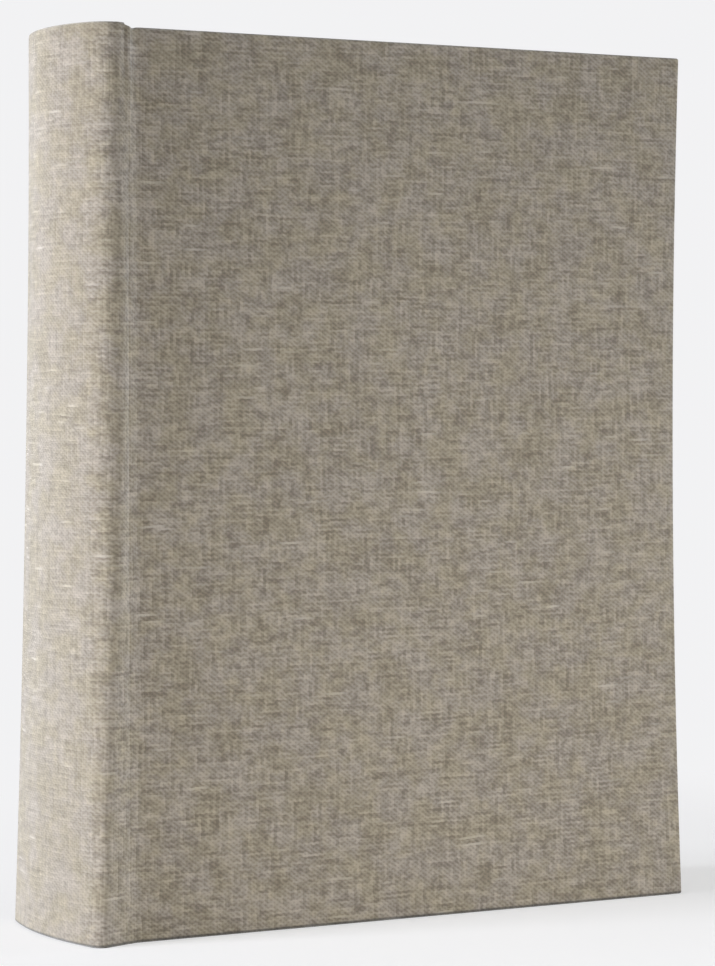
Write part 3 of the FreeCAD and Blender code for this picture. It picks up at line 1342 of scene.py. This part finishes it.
@dataclass
class SpineLinen(LinenPart):
    """Linen round the spine and down to both joints, folded in at head and tail.

    A station is a column: the stretch that it lies on, its side and its place on that stretch.
    """

    slope_shares: tuple[float, ...] = (0.0, 0.02, 0.045, 0.075, 0.11, 0.15,
                                       0.2, 0.27, 0.36, 0.48, 0.62, 0.8)
    edge_steps: int = 9
    arch_steps: int = 28
    fold_stack: float = 2.0 * MM
    front_rise: float = 0.35 * MM
    back_rise: float = -0.25 * MM
    rise_start: float = 4.0 * MM
    rise_turn: float = 1.6
    cap_draw: float = 0.15 * MM
    cap_reach: float = 2.8 * MM

    def __post_init__(self) -> None:
        """Lists the stations, and measures the linen from joint to joint half way up."""
        out = [(Stretch.SLOPE, t) for t in self.slope_shares]
        out += [(Stretch.EDGE, i / self.edge_steps) for i in range(self.edge_steps)]
        self.stations = [(stretch, Side.FRONT, t) for stretch, t in out]
        self.stations += [(Stretch.ARCH, Side.BACK, t) for t in spread(-1, 1, self.arch_steps + 1)]
        self.stations += [(stretch, Side.BACK, t) for stretch, t in reversed(out)]
        self.spine_run = self._lengths(self.album.height / 2)[-1]

    def place(self, station: Station, z: float, depth: float) -> Point:
        """A point of the cloth.

        Args:
            station: Its station.
            z: Height above the tail.
            depth: Depth inside the outer face.

        Returns:
            The point.
        """
        stretch, side, t = station
        section = SpineSection(self.album, z, side is Side.FRONT or t < 0)
        if stretch is Stretch.ARCH:
            near = max(0.0, 1 - min(z, self.album.height - z) / self.cap_reach)
            return section.on_arch(t, depth + self.cap_draw * near ** 2 * (1 - t ** 4))
        on_face = section.on_edge if stretch is Stretch.EDGE else section.on_slope
        s = on_face(side, t, 0.0)[0] + self.album.middle
        x, y, z = on_face(side, t, depth)
        return (x, y + side.value * self.joint.relief(s, z / self.album.height), z)

    def stack(self, station: Station) -> float:
        """Thickness of the fold at head and tail: two cloths, and the card under the arch.

        Args:
            station: The station.

        Returns:
            The thickness.
        """
        stretch, _, t = station
        thin = 2 * self.album.cloth
        if stretch is Stretch.ARCH:
            return self.fold_stack
        return mix(thin, self.fold_stack, ease(t)) if stretch is Stretch.EDGE else thin

    def _lengths(self, z: float) -> list[float]:
        """Measures the linen at one height.

        Args:
            z: Height above the tail.

        Returns:
            Its length from the front joint to each station.
        """
        points = [Vector(self.place(station, z, 0.0)) for station in self.stations]
        lengths = [0.0]
        for a, b in zip(points, points[1:]):
            lengths.append(lengths[-1] + (b - a).length)
        return lengths

    def runs(self, z: float) -> list[float]:
        """Place of each station on the flat cloth, measured from the front joint."""
        lengths = self._lengths(z)
        return [-self.album.joint_gap - self.spine_run * length / lengths[-1] for length in lengths]

    def top(self, station: Station) -> float:
        """Height of the head edge, which rises towards the front.

        Args:
            station: The station.

        Returns:
            The height.
        """
        stretch, side, t = station
        full = self.album.height + self.album.spine_extra
        if stretch is Stretch.ARCH:
            return full + mix(self.front_rise, self.back_rise, ease((t + 1) / self.rise_turn))
        rise = self.front_rise if side is Side.FRONT else self.back_rise
        if stretch is Stretch.EDGE:
            return full + rise
        section = SpineSection(self.album, self.album.height, side is Side.FRONT)
        s = section.on_slope(side, t, 0.0)[0] + self.album.middle
        return self.head(s) + rise * ease(-s / self.rise_start)

    def _hem(self, sheet: SheetMesh, end: End) -> None:
        """Adds the fold at an end.

        Args:
            sheet: The sheet to add to.
            end: Tail or head.
        """
        columns = []
        for station, u in zip(self.stations, self.runs(self.album.height * end.value)):
            edge, inwards = (self.top(station), -1) if end is End.HEAD else (0.0, 1)
            columns.append([(*(self.place(station, edge + inwards * n, depth) for n, depth, _ in pair),
                             (u, self.flat_height(pair[0][2], end)))
                            for pair in self.hem_pairs(self.stack(station))])
        sheet.patch(columns, flip=end is End.HEAD)

    def build(self) -> bpy.types.Object:
        """Makes the spine's linen, which stays with the leaves.

        Returns:
            The new piece.
        """
        edge, cloth = self.album.edge_round, self.album.cloth
        sheet = SheetMesh()
        rows = []
        for q in self.rows.shares():
            row = []
            for station, u in zip(self.stations, self.runs(self.album.height * q)):
                z = mix(edge, self.top(station) - edge, q)
                row.append((self.place(station, z, 0.0), self.place(station, z, cloth), (u, z)))
            rows.append(row)
        sheet.patch(rows, flip=True)
        for end in End:
            self._hem(sheet, end)
        piece = self.make(sheet, "spine_linen")
        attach(piece, "book")
        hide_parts("spine_cloth")
        return piece


# Papers, leaves and bands

@dataclass
class Endpaper:
    """The endpaper pasted inside a cover, with the fold that runs to the first leaf."""

    album: Album
    side: Side
    material: bpy.types.Material
    fold_start: float = -0.2 * MM
    fold_end: float = 5.0 * MM
    step: float = 0.8 * MM
    fine: float = 0.1 * MM
    fine_columns: int = 11
    fold_columns: int = 15
    flat_columns: int = 12
    flat_rows: int = 16
    step_parts: int = 4
    step_lines: int = 6
    sharp: float = 60.0

    def depth(self, s: float, z: float) -> float:
        """Depth of the visible face, which steps over the turned-in cloth and falls to the leaves.

        Args:
            s: Distance from the hinge.
            z: Height above the tail.

        Returns:
            The depth inside the cover's outer face.
        """
        album = self.album
        inset = min(album.cover_width - s, z, album.height - z)
        over_cloth = ease((album.turn_in + self.step - inset) / self.step)
        face = album.board_face + album.paper + album.cloth * over_cloth
        fall = ease((self.step - s) / (self.step - self.fold_start))
        return mix(face, album.leaf_depth, fall)

    def _columns(self) -> list[float]:
        """Distances of the columns from the hinge, close together where the sheet bends.

        Returns:
            The distances.
        """
        album = self.album
        columns = [self.fold_start + i * self.fine for i in range(self.fine_columns)]
        columns += spread(columns[-1], self.fold_end, self.fold_columns)[1:]
        columns += spread(self.fold_end, album.cover_width - album.turn_in - self.step, self.flat_columns)[1:]
        columns += [columns[-1] + i * self.step / self.step_parts for i in range(1, self.step_lines)]
        return columns + [album.cover_width - album.pastedown_margin]

    def _levels(self) -> list[float]:
        """Heights of the rows, close together where the sheet steps over the turned-in cloth.

        Returns:
            The heights.
        """
        height, turned = self.album.height, self.album.turn_in + self.step
        foot = [turned - i * self.step / self.step_parts for i in range(self.step_lines - 1, -1, -1)]
        foot = [self.album.pastedown_margin] + foot
        middle = spread(turned, height - turned, self.flat_rows)[1:-1]
        return foot + middle + [height - z for z in reversed(foot)]

    def build(self) -> bpy.types.Object:
        """Makes the sheet, in place of the imported pastedown.

        Returns:
            The new piece.
        """
        rows = []
        columns = self._columns()
        for z in self._levels():
            places = [(s, self.depth(s, z)) for s in columns]
            rows.append([(self.album.cover_point(self.side, s, depth, z),
                          self.album.cover_point(self.side, s, depth - self.album.paper, z),
                          (s, z)) for s, depth in places])
        sheet = SheetMesh()
        sheet.patch(rows, flip=self.side is Side.FRONT)
        piece = sheet.build(f"{self.side.label}_endpaper", self.material)
        sharpen(piece, self.sharp)
        bend(piece)
        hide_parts(f"{self.side.label}_pastedown")
        return piece


def node_group(name: str, inputs: dict[str, str]) -> tuple[Nodes, Sockets]:
    """Starts a geometry node group with a geometry input and named inputs.

    Args:
        name: The group's name.
        inputs: Socket type of each input after the geometry.

    Returns:
        A helper that adds nodes to the group, and what its inputs give.
    """
    tree = bpy.data.node_groups.new(name, "GeometryNodeTree")
    tree.interface.new_socket("Geometry", in_out="INPUT", socket_type="NodeSocketGeometry")
    for label, kind in inputs.items():
        tree.interface.new_socket(label, in_out="INPUT", socket_type=kind)
    tree.interface.new_socket("Geometry", in_out="OUTPUT", socket_type="NodeSocketGeometry")
    nodes = Nodes(tree)
    return nodes, nodes.add("NodeGroupInput").outputs


def end_group(nodes: Nodes, geometry: Socket, material: Socket) -> bpy.types.NodeTree:
    """Ends a node group with its material and its output.

    Args:
        nodes: The group's nodes.
        geometry: The geometry that it makes.
        material: The input that holds its material.

    Returns:
        The node group.
    """
    dress = nodes.add("GeometryNodeSetMaterial", {"Geometry": geometry, "Material": material})
    nodes.add("NodeGroupOutput", {0: dress.outputs[0]})
    return nodes.tree


def bake(piece: bpy.types.Object, tree: bpy.types.NodeTree, values: dict[str, object]) -> None:
    """Runs a node group on a piece and keeps the result as its mesh.

    Args:
        piece: The piece that carries the geometry input.
        tree: The node group.
        values: Value of each named input.
    """
    modifier = piece.modifiers.new(tree.name, "NODES")
    modifier.node_group = tree
    for item in tree.interface.items_tree:
        if item.in_out == "INPUT" and item.name in values:
            modifier[item.identifier] = values[item.name]
    evaluated = piece.evaluated_get(bpy.context.evaluated_depsgraph_get())
    mesh = bpy.data.meshes.new_from_object(evaluated)
    piece.modifiers.remove(modifier)
    piece.data = mesh
    mesh.name = piece.name


@dataclass
class Leaves:
    """The stack of card leaves, each with a guard strip that thickens it at its root."""

    album: Album
    material: bpy.types.Material
    count: int = 50
    card: float = 0.45 * MM
    guard: float = 10.0 * MM
    guard_step: float = 0.4 * MM
    guard_fill: float = 0.93
    flare: float = 0.85
    slack: float = 0.1 * MM
    rows: int = 13
    root_columns: int = 7
    sharp: float = 40.0
    seed: int = 7

    TO_LAST = "to_last_leaf"
    ROUNDING = "rounding"
    SHARE = "leaf_share"
    SHIFT = "shift"

    def _half(self, side: Side, s: float, z: float, root: float) -> float:
        """Y of the stack's face on one side, flaring towards the shoulder behind the joint.

        Args:
            side: The side.
            s: Distance from the hinge.
            z: Height above the tail.
            root: Where the shoulder lies, as a distance from the hinge.

        Returns:
            The place across the album.
        """
        album = self.album
        plain = album.cover_point(side, max(s, 0.0), album.leaf_depth, z)[1]
        if s >= 0:
            return plain
        shoulder = SpineSection(album, z).on_arch(side.value, album.back_depth)[1]
        return mix(plain, shoulder, ease(s / (self.flare * root)))

    def _columns(self) -> list[Pair]:
        """Places the leaf's columns, from the fore-edge to the root.

        Returns:
            Each column's distance from the hinge, and its share of the way from there to the root.
        """
        fore = self.album.cover_width - self.album.fore_square - self.slack
        flat = [fore, fore / 2, self.guard + self.guard_step, self.guard, self.guard / 2]
        return [(s, 0.0) for s in flat] + [(0.0, i / self.root_columns) for i in range(self.root_columns + 1)]

    def _first(self) -> bpy.types.Object:
        """Makes the first leaf, whose vertices know the way to the last leaf and to the rounded back.

        Returns:
            The leaf.
        """
        album = self.album
        sheet = SheetMesh()
        ways, roundings, rows = [], [], []
        ends = album.square + self.slack, album.height - album.square - self.slack
        for z in spread(*ends, self.rows):
            section, row = SpineSection(album, z), []
            root, crown = (section.on_arch(t, album.back_depth)[0] + album.middle + self.slack
                           for t in (-1, 0))
            for s, behind in self._columns():
                s = behind * root if behind else s
                low, high = (self._half(side, s, z, root) for side in Side)
                filled = self.guard_fill * (high - low) / self.count
                thick = filled if s <= self.guard else min(self.card, filled)
                x = s - album.middle
                row.append(((x, low, z), (x, low + thick, z), (s, z)))
                ways.append((0.0, high - low - thick, 0.0))
                roundings.append(((crown - root) * behind ** 2, 0.0, 0.0))
            rows.append(row)
        sheet.patch(rows)
        leaf = sheet.build("leaves", self.material)
        for name, values in ((self.TO_LAST, ways), (self.ROUNDING, roundings)):
            layer = leaf.data.attributes.new(name, "FLOAT_VECTOR", "POINT")
            layer.data.foreach_set("vector", [c for value in values * 2 for c in value])
        return leaf

    def _marked(self, nodes: Nodes, flow: Socket, given: Sockets) -> Socket:
        """Marks each leaf with its place in the stack, its own shift and its own tone.

        Args:
            nodes: The group's nodes.
            flow: The leaves, as instances.
            given: What the group's inputs give.

        Returns:
            The marked leaves.
        """
        last = nodes.math("SUBTRACT", given["Leaf Count"], 1.0)
        share = nodes.math("DIVIDE", nodes.add("GeometryNodeInputIndex").outputs[0], last)
        shift = nodes.add("FunctionNodeRandomValue", {
            0: (-1.0, 0.0, -1.0), 1: (1.0, 0.0, 1.0), "Seed": given["Seed"]}, data_type="FLOAT_VECTOR")
        shade = nodes.add("FunctionNodeRandomValue", {"Seed": given["Seed"]})
        marks = ((self.SHARE, "FLOAT", share), (self.SHIFT, "FLOAT_VECTOR", shift.outputs[0]),
                 (LEAF_TONE, "FLOAT", shade.outputs[1]))
        for name, kind, value in marks:
            flow = nodes.add("GeometryNodeStoreNamedAttribute", {
                "Geometry": flow, "Name": name, "Value": value}, data_type=kind, domain="INSTANCE").outputs[0]
        return flow

    def _stack(self) -> bpy.types.NodeTree:
        """Makes the node group that repeats the first leaf through the stack.

        Returns:
            The node group.
        """
        nodes, given = node_group("leaf_stack", {
            "Leaf Count": "NodeSocketInt", "Scatter": "NodeSocketFloat", "Seed": "NodeSocketInt",
            "Leaf Card": "NodeSocketMaterial"})
        line = nodes.add("GeometryNodeMeshLine", {"Count": given["Leaf Count"], "Offset": (0.0, 0.0, 0.0)})
        leaves = nodes.add("GeometryNodeInstanceOnPoints", {
            "Points": line.outputs["Mesh"], "Instance": given["Geometry"]})
        marked = self._marked(nodes, leaves.outputs["Instances"], given)
        real = nodes.add("GeometryNodeRealizeInstances", {0: marked})
        share = nodes.stored(self.SHARE, "FLOAT")
        off = nodes.math("MULTIPLY_ADD", share, 2.0, -1.0)
        inner = nodes.math("SUBTRACT", 1.0, nodes.math("MULTIPLY", off, off))
        way = nodes.scaled(nodes.stored(self.TO_LAST, "FLOAT_VECTOR"), share)
        way = nodes.total(way, nodes.scaled(nodes.stored(self.ROUNDING, "FLOAT_VECTOR"), inner))
        way = nodes.total(way, nodes.scaled(nodes.stored(self.SHIFT, "FLOAT_VECTOR"), given["Scatter"]))
        place = nodes.add("GeometryNodeSetPosition", {"Geometry": real.outputs[0], "Offset": way})
        return end_group(nodes, place.outputs[0], given["Leaf Card"])

    def build(self) -> bpy.types.Object:
        """Makes the leaves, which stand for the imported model's single block.

        Returns:
            The new piece.
        """
        piece = self._first()
        bake(piece, self._stack(), {"Leaf Count": self.count, "Scatter": self.slack, "Seed": self.seed,
                                    "Leaf Card": self.material})
        sharpen(piece, self.sharp)
        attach(piece, "book")
        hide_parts("page_block")
        return piece


@dataclass
class EndBand:
    """The head or tail band: a tape on the leaves' back and thread sewn over a bead."""

    album: Album
    end: End
    material: bpy.types.Material
    thread: float = 0.22 * MM
    overlap: float = 0.2 * MM
    tape_rows: int = 4
    tape_columns: int = 25
    arc_points: int = 48
    loop_points: int = 16
    thread_points: int = 6
    smallest: float = 0.93
    sharp: float = 70.0
    seed: int = 3

    def _tape(self, rim: float, foot: float) -> bpy.types.Object:
        """Makes the tape that holds the bead.

        Args:
            rim: Height of the bead's middle.
            foot: Height of the tape's other end.

        Returns:
            The tape.
        """
        album = self.album
        rows = []
        for z in spread(min(rim, foot), max(rim, foot), self.tape_rows):
            level = SpineSection(album, z)
            rows.append([(level.on_arch(t, album.lining_depth, album.strip_inset),
                          level.on_arch(t, album.back_depth, album.strip_inset), (t, z))
                         for t in spread(-1, 1, self.tape_columns)])
        sheet = SheetMesh()
        sheet.patch(rows, flip=True)
        return sheet.build(f"{self.end.label}_band_sewing", self.material)

    def _sewing(self) -> bpy.types.NodeTree:
        """Makes the node group that lays stitches side by side along an arc and joins them to the tape.

        Returns:
            The node group.
        """
        nodes, given = node_group("band_sewing", {
            "Radius": "NodeSocketFloat", "Half Sweep": "NodeSocketFloat", "Centre": "NodeSocketVector",
            "Bead": "NodeSocketFloat", "Thread": "NodeSocketFloat", "Stitches": "NodeSocketInt",
            "Seed": "NodeSocketInt", "Cotton": "NodeSocketMaterial"})
        arc = nodes.add("GeometryNodeCurveArc", {
            "Resolution": self.arc_points, "Radius": given["Radius"],
            "Start Angle": nodes.math("SUBTRACT", math.pi, given["Half Sweep"]),
            "Sweep Angle": nodes.math("MULTIPLY", given["Half Sweep"], 2.0)}, mode="RADIUS")
        steps = nodes.add("GeometryNodeResampleCurve", {
            "Curve": arc.outputs["Curve"], "Count": given["Stitches"]})
        middle = nodes.math("SUBTRACT", given["Bead"], given["Thread"])
        loop, thread = (
            nodes.add("GeometryNodeCurvePrimitiveCircle", {
                "Resolution": points, "Radius": radius}).outputs["Curve"]
            for points, radius in ((self.loop_points, middle), (self.thread_points, given["Thread"])))
        ring = nodes.add("GeometryNodeCurveToMesh", {"Curve": loop, "Profile Curve": thread})
        tangent = nodes.add("GeometryNodeInputTangent").outputs[0]
        turn = nodes.add("FunctionNodeAlignRotationToVector", {"Vector": tangent}, axis="Z")
        size = nodes.add("FunctionNodeRandomValue", {2: self.smallest, 3: 1.0, "Seed": given["Seed"]})
        stitches = nodes.add("GeometryNodeInstanceOnPoints", {
            "Points": steps.outputs["Curve"], "Instance": ring.outputs["Mesh"],
            "Rotation": turn.outputs["Rotation"], "Scale": size.outputs[1]})
        real = nodes.add("GeometryNodeRealizeInstances", {0: stitches.outputs["Instances"]})
        place = nodes.add("GeometryNodeTransform", {
            "Geometry": real.outputs[0], "Translation": given["Centre"]})
        joined = nodes.add("GeometryNodeJoinGeometry", {0: given["Geometry"]})
        nodes.feed(joined.inputs[0], place.outputs[0])
        return end_group(nodes, joined.outputs[0], given["Cotton"])

    def build(self) -> bpy.types.Object:
        """Makes the band.

        Returns:
            The new piece.
        """
        album = self.album
        at_head = self.end is End.HEAD
        up = 1 if at_head else -1
        leaf_end = album.height - album.square if at_head else album.square
        rim = leaf_end + up * album.band_round
        section = SpineSection(album, rim)
        radius = section.arch - album.back_depth - album.band_round + self.overlap
        half = section.half_sweep - album.strip_inset / section.arch
        piece = self._tape(rim, leaf_end - up * album.band_tape)
        bake(piece, self._sewing(), {
            "Radius": radius, "Half Sweep": half, "Centre": section.point(Side.BACK, section.arch_s, 0.0),
            "Bead": album.band_round, "Thread": self.thread, "Seed": self.seed, "Cotton": self.material,
            "Stitches": round(2 * half * radius / (2 * self.thread))})
        piece.data.shade_smooth()
        sharpen(piece, self.sharp)
        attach(piece, "book")
        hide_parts(f"{self.end.label}_band")
        return piece


def dress_nodes(finishes: dict[str, tuple[bpy.types.Material, Slot]]) -> None:
    """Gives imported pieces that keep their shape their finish.

    Args:
        finishes: Material and slot for each node.
    """
    for name, (material, slot) in finishes.items():
        piece = frame["nodes"][name]
        for held in piece.material_slots:
            held.material = material


# Stage

def grey(level: float, more_blue: float = 0.0) -> Colour:
    """A grey, which may lean towards blue."""
    return tone(level, level, level + more_blue)


@dataclass(frozen=True)
class Lamp:
    """A soft rectangular lamp that faces a point."""

    name: str
    place: Point
    target: Point
    size: Pair
    power: float
    colour: Point = (1.0, 1.0, 1.0)

    def build(self) -> bpy.types.Object:
        """Makes the lamp.

        Returns:
            The lamp's object.
        """
        light = bpy.data.lights.new(self.name, "AREA")
        light.shape = "RECTANGLE"
        light.size, light.size_y = self.size
        light.energy = self.power
        light.color = self.colour
        lamp = bpy.data.objects.new(self.name, light)
        bpy.context.scene.collection.objects.link(lamp)
        lamp.location = self.place
        lamp.visible_camera = False
        lamp.rotation_euler = (Vector(self.target) - Vector(self.place)).to_track_quat("-Z", "Y").to_euler()
        return lamp


LAMPS = (
    Lamp("key_lamp", (-1.448, 0.073, 0.32), (-0.05, 0.0, 0.11), (0.5, 0.55), 29.0, (0.985, 1.0, 1.05)),
    Lamp("top_lamp", (0.0, 0.1, 1.6), (0.0, 0.0, 0.11), (1.6, 1.6), 8.0),
    Lamp("side_lamp", (1.28, -0.226, 0.3), (0.0, 0.0, 0.08), (0.5, 0.5), 5.5),
    Lamp("low_lamp_right", (0.08, -0.32, 0.02), (0.03, 0.0, 0.02), (0.4, 0.04), 0.41),
    Lamp("low_lamp_left", (-0.05, -0.32, 0.02), (-0.05, 0.0, 0.02), (0.3, 0.04), 0.17),
)


@dataclass(frozen=True)
class Studio:
    """The pale floor and backdrop, the lamps and the camera."""

    lamps: tuple[Lamp, ...] = LAMPS
    floor_half: float = 6.0
    floor_white: Colour = grey(0.65, 0.01)
    floor_lift: Colour = grey(0.45)
    backdrop: Colour = grey(0.888, 0.012)
    bounce: Colour = grey(0.8)
    shade_middle: Point = (0.08, -0.03, 0.0)
    near: float = 0.10
    far: float = 0.30
    world: float = 0.03
    world_tint: Colour = tone(0.97, 0.98, 1.0)
    lens: float = 124.3
    camera_place: Point = (-0.4322, -0.7719, 0.1393)
    heading: float = 29.35
    rise: float = 0.1035
    clip: Pair = (0.05, 50.0)

    def _floor_material(self) -> bpy.types.Material:
        """White to the camera, evenly so further off, and greyer to the light that bounces.

        Returns:
            The material.
        """
        material = bpy.data.materials.new("pale_floor")
        material.use_nodes = True
        tree = material.node_tree
        tree.nodes.remove(tree.nodes["Principled BSDF"])
        nodes = Nodes(tree)
        lit, dull = (nodes.add("ShaderNodeBsdfDiffuse", {"Color": colour}).outputs[0]
                     for colour in (self.floor_white, self.bounce))
        lift, even = (nodes.add("ShaderNodeEmission", {"Color": colour}).outputs[0]
                      for colour in (self.floor_lift, self.backdrop))
        near = nodes.add("ShaderNodeAddShader", {0: lit, 1: lift}).outputs[0]
        off = nodes.add("ShaderNodeVectorMath", {
            0: nodes.place(), 1: self.shade_middle}, operation="DISTANCE")
        distance = nodes.ramp(off.outputs["Value"], (self.near, 0.0), (self.far, 1.0))
        seen = nodes.add("ShaderNodeMixShader", {0: distance, 1: near, 2: even}).outputs[0]
        rays = nodes.add("ShaderNodeLightPath")
        direct = nodes.math("MAXIMUM", rays.outputs["Is Camera Ray"], rays.outputs["Is Glossy Ray"])
        direct = nodes.math("MAXIMUM", direct, rays.outputs["Is Transmission Ray"])
        choice = nodes.add("ShaderNodeMixShader", {0: direct, 1: dull, 2: seen})
        nodes.feed(tree.nodes["Material Output"].inputs["Surface"], choice.outputs[0])
        return material

    def _floor(self) -> None:
        """Makes a wide floor that the album stands on."""
        half = self.floor_half
        points = [(-half, -half, 0.0), (half, -half, 0.0), (half, half, 0.0), (-half, half, 0.0)]
        plain_mesh("studio_floor", points, [(0, 1, 2, 3)], self._floor_material())

    def _world(self) -> None:
        """Makes an even pale surround, white to the camera."""
        world = bpy.data.worlds.new("studio_world")
        world.use_nodes = True
        bpy.context.scene.world = world
        tree = world.node_tree
        nodes = Nodes(tree)
        soft = tree.nodes["Background"]
        soft.inputs["Color"].default_value = self.world_tint
        soft.inputs["Strength"].default_value = self.world
        white = nodes.add("ShaderNodeBackground", {"Color": self.backdrop})
        rays = nodes.add("ShaderNodeLightPath")
        choice = nodes.add("ShaderNodeMixShader", {
            0: rays.outputs["Is Camera Ray"], 1: soft.outputs[0], 2: white.outputs[0]})
        nodes.feed(tree.nodes["World Output"].inputs["Surface"], choice.outputs[0])

    def _camera(self) -> None:
        """Sets the camera at the album's front left."""
        data = bpy.data.cameras.new("studio_camera")
        data.lens = self.lens
        data.clip_start, data.clip_end = self.clip
        data.shift_y = -self.rise
        camera = bpy.data.objects.new("studio_camera", data)
        bpy.context.scene.collection.objects.link(camera)
        camera.location = self.camera_place
        camera.rotation_euler = (math.radians(90), 0.0, -math.radians(self.heading))
        bpy.context.scene.camera = camera

    def build(self) -> None:
        """Sets the stage."""
        self._camera()
        self._world()
        self._floor()
        for lamp in self.lamps:
            lamp.build()
        bpy.context.scene.view_settings.view_transform = "Standard"


def report(piece: bpy.types.Object) -> None:
    """Logs a piece and the number of its faces."""
    log.info("%s: %d faces", piece.name, len(piece.data.polygons))


def main() -> None:
    """Builds the album piece by piece."""
    logging.basicConfig(level=logging.INFO, format="%(message)s")
    Studio().build()
    album, joint = Album.from_frame(), JointForm()
    linen = Linen().make()
    spine = SpineLinen(album, joint, linen)
    report(spine.build())
    paper, board, card = Paper().make(), Greyboard().make(), LeafCard().make()
    gauze, cotton = Gauze().make(), Cotton().make()
    for side in Side:
        for kind in (CoverLinen, JointLinen):
            report(kind(album, joint, linen, spine_run=spine.spine_run, side=side).build())
        report(Endpaper(album, side, paper).build())
        dress_nodes({f"{side.label}_board": (board, Slot.GREYBOARD),
                     f"{side.label}_flyleaf": (paper, Slot.ENDPAPER)})
    dress_nodes({"spine_stiffener": (board, Slot.GREYBOARD), "spine_lining": (gauze, Slot.GAUZE)})
    report(Leaves(album, card).build())
    for end in reversed(End):
        report(EndBand(album, end, cotton).build())


if __name__ == "__main__":
    main()
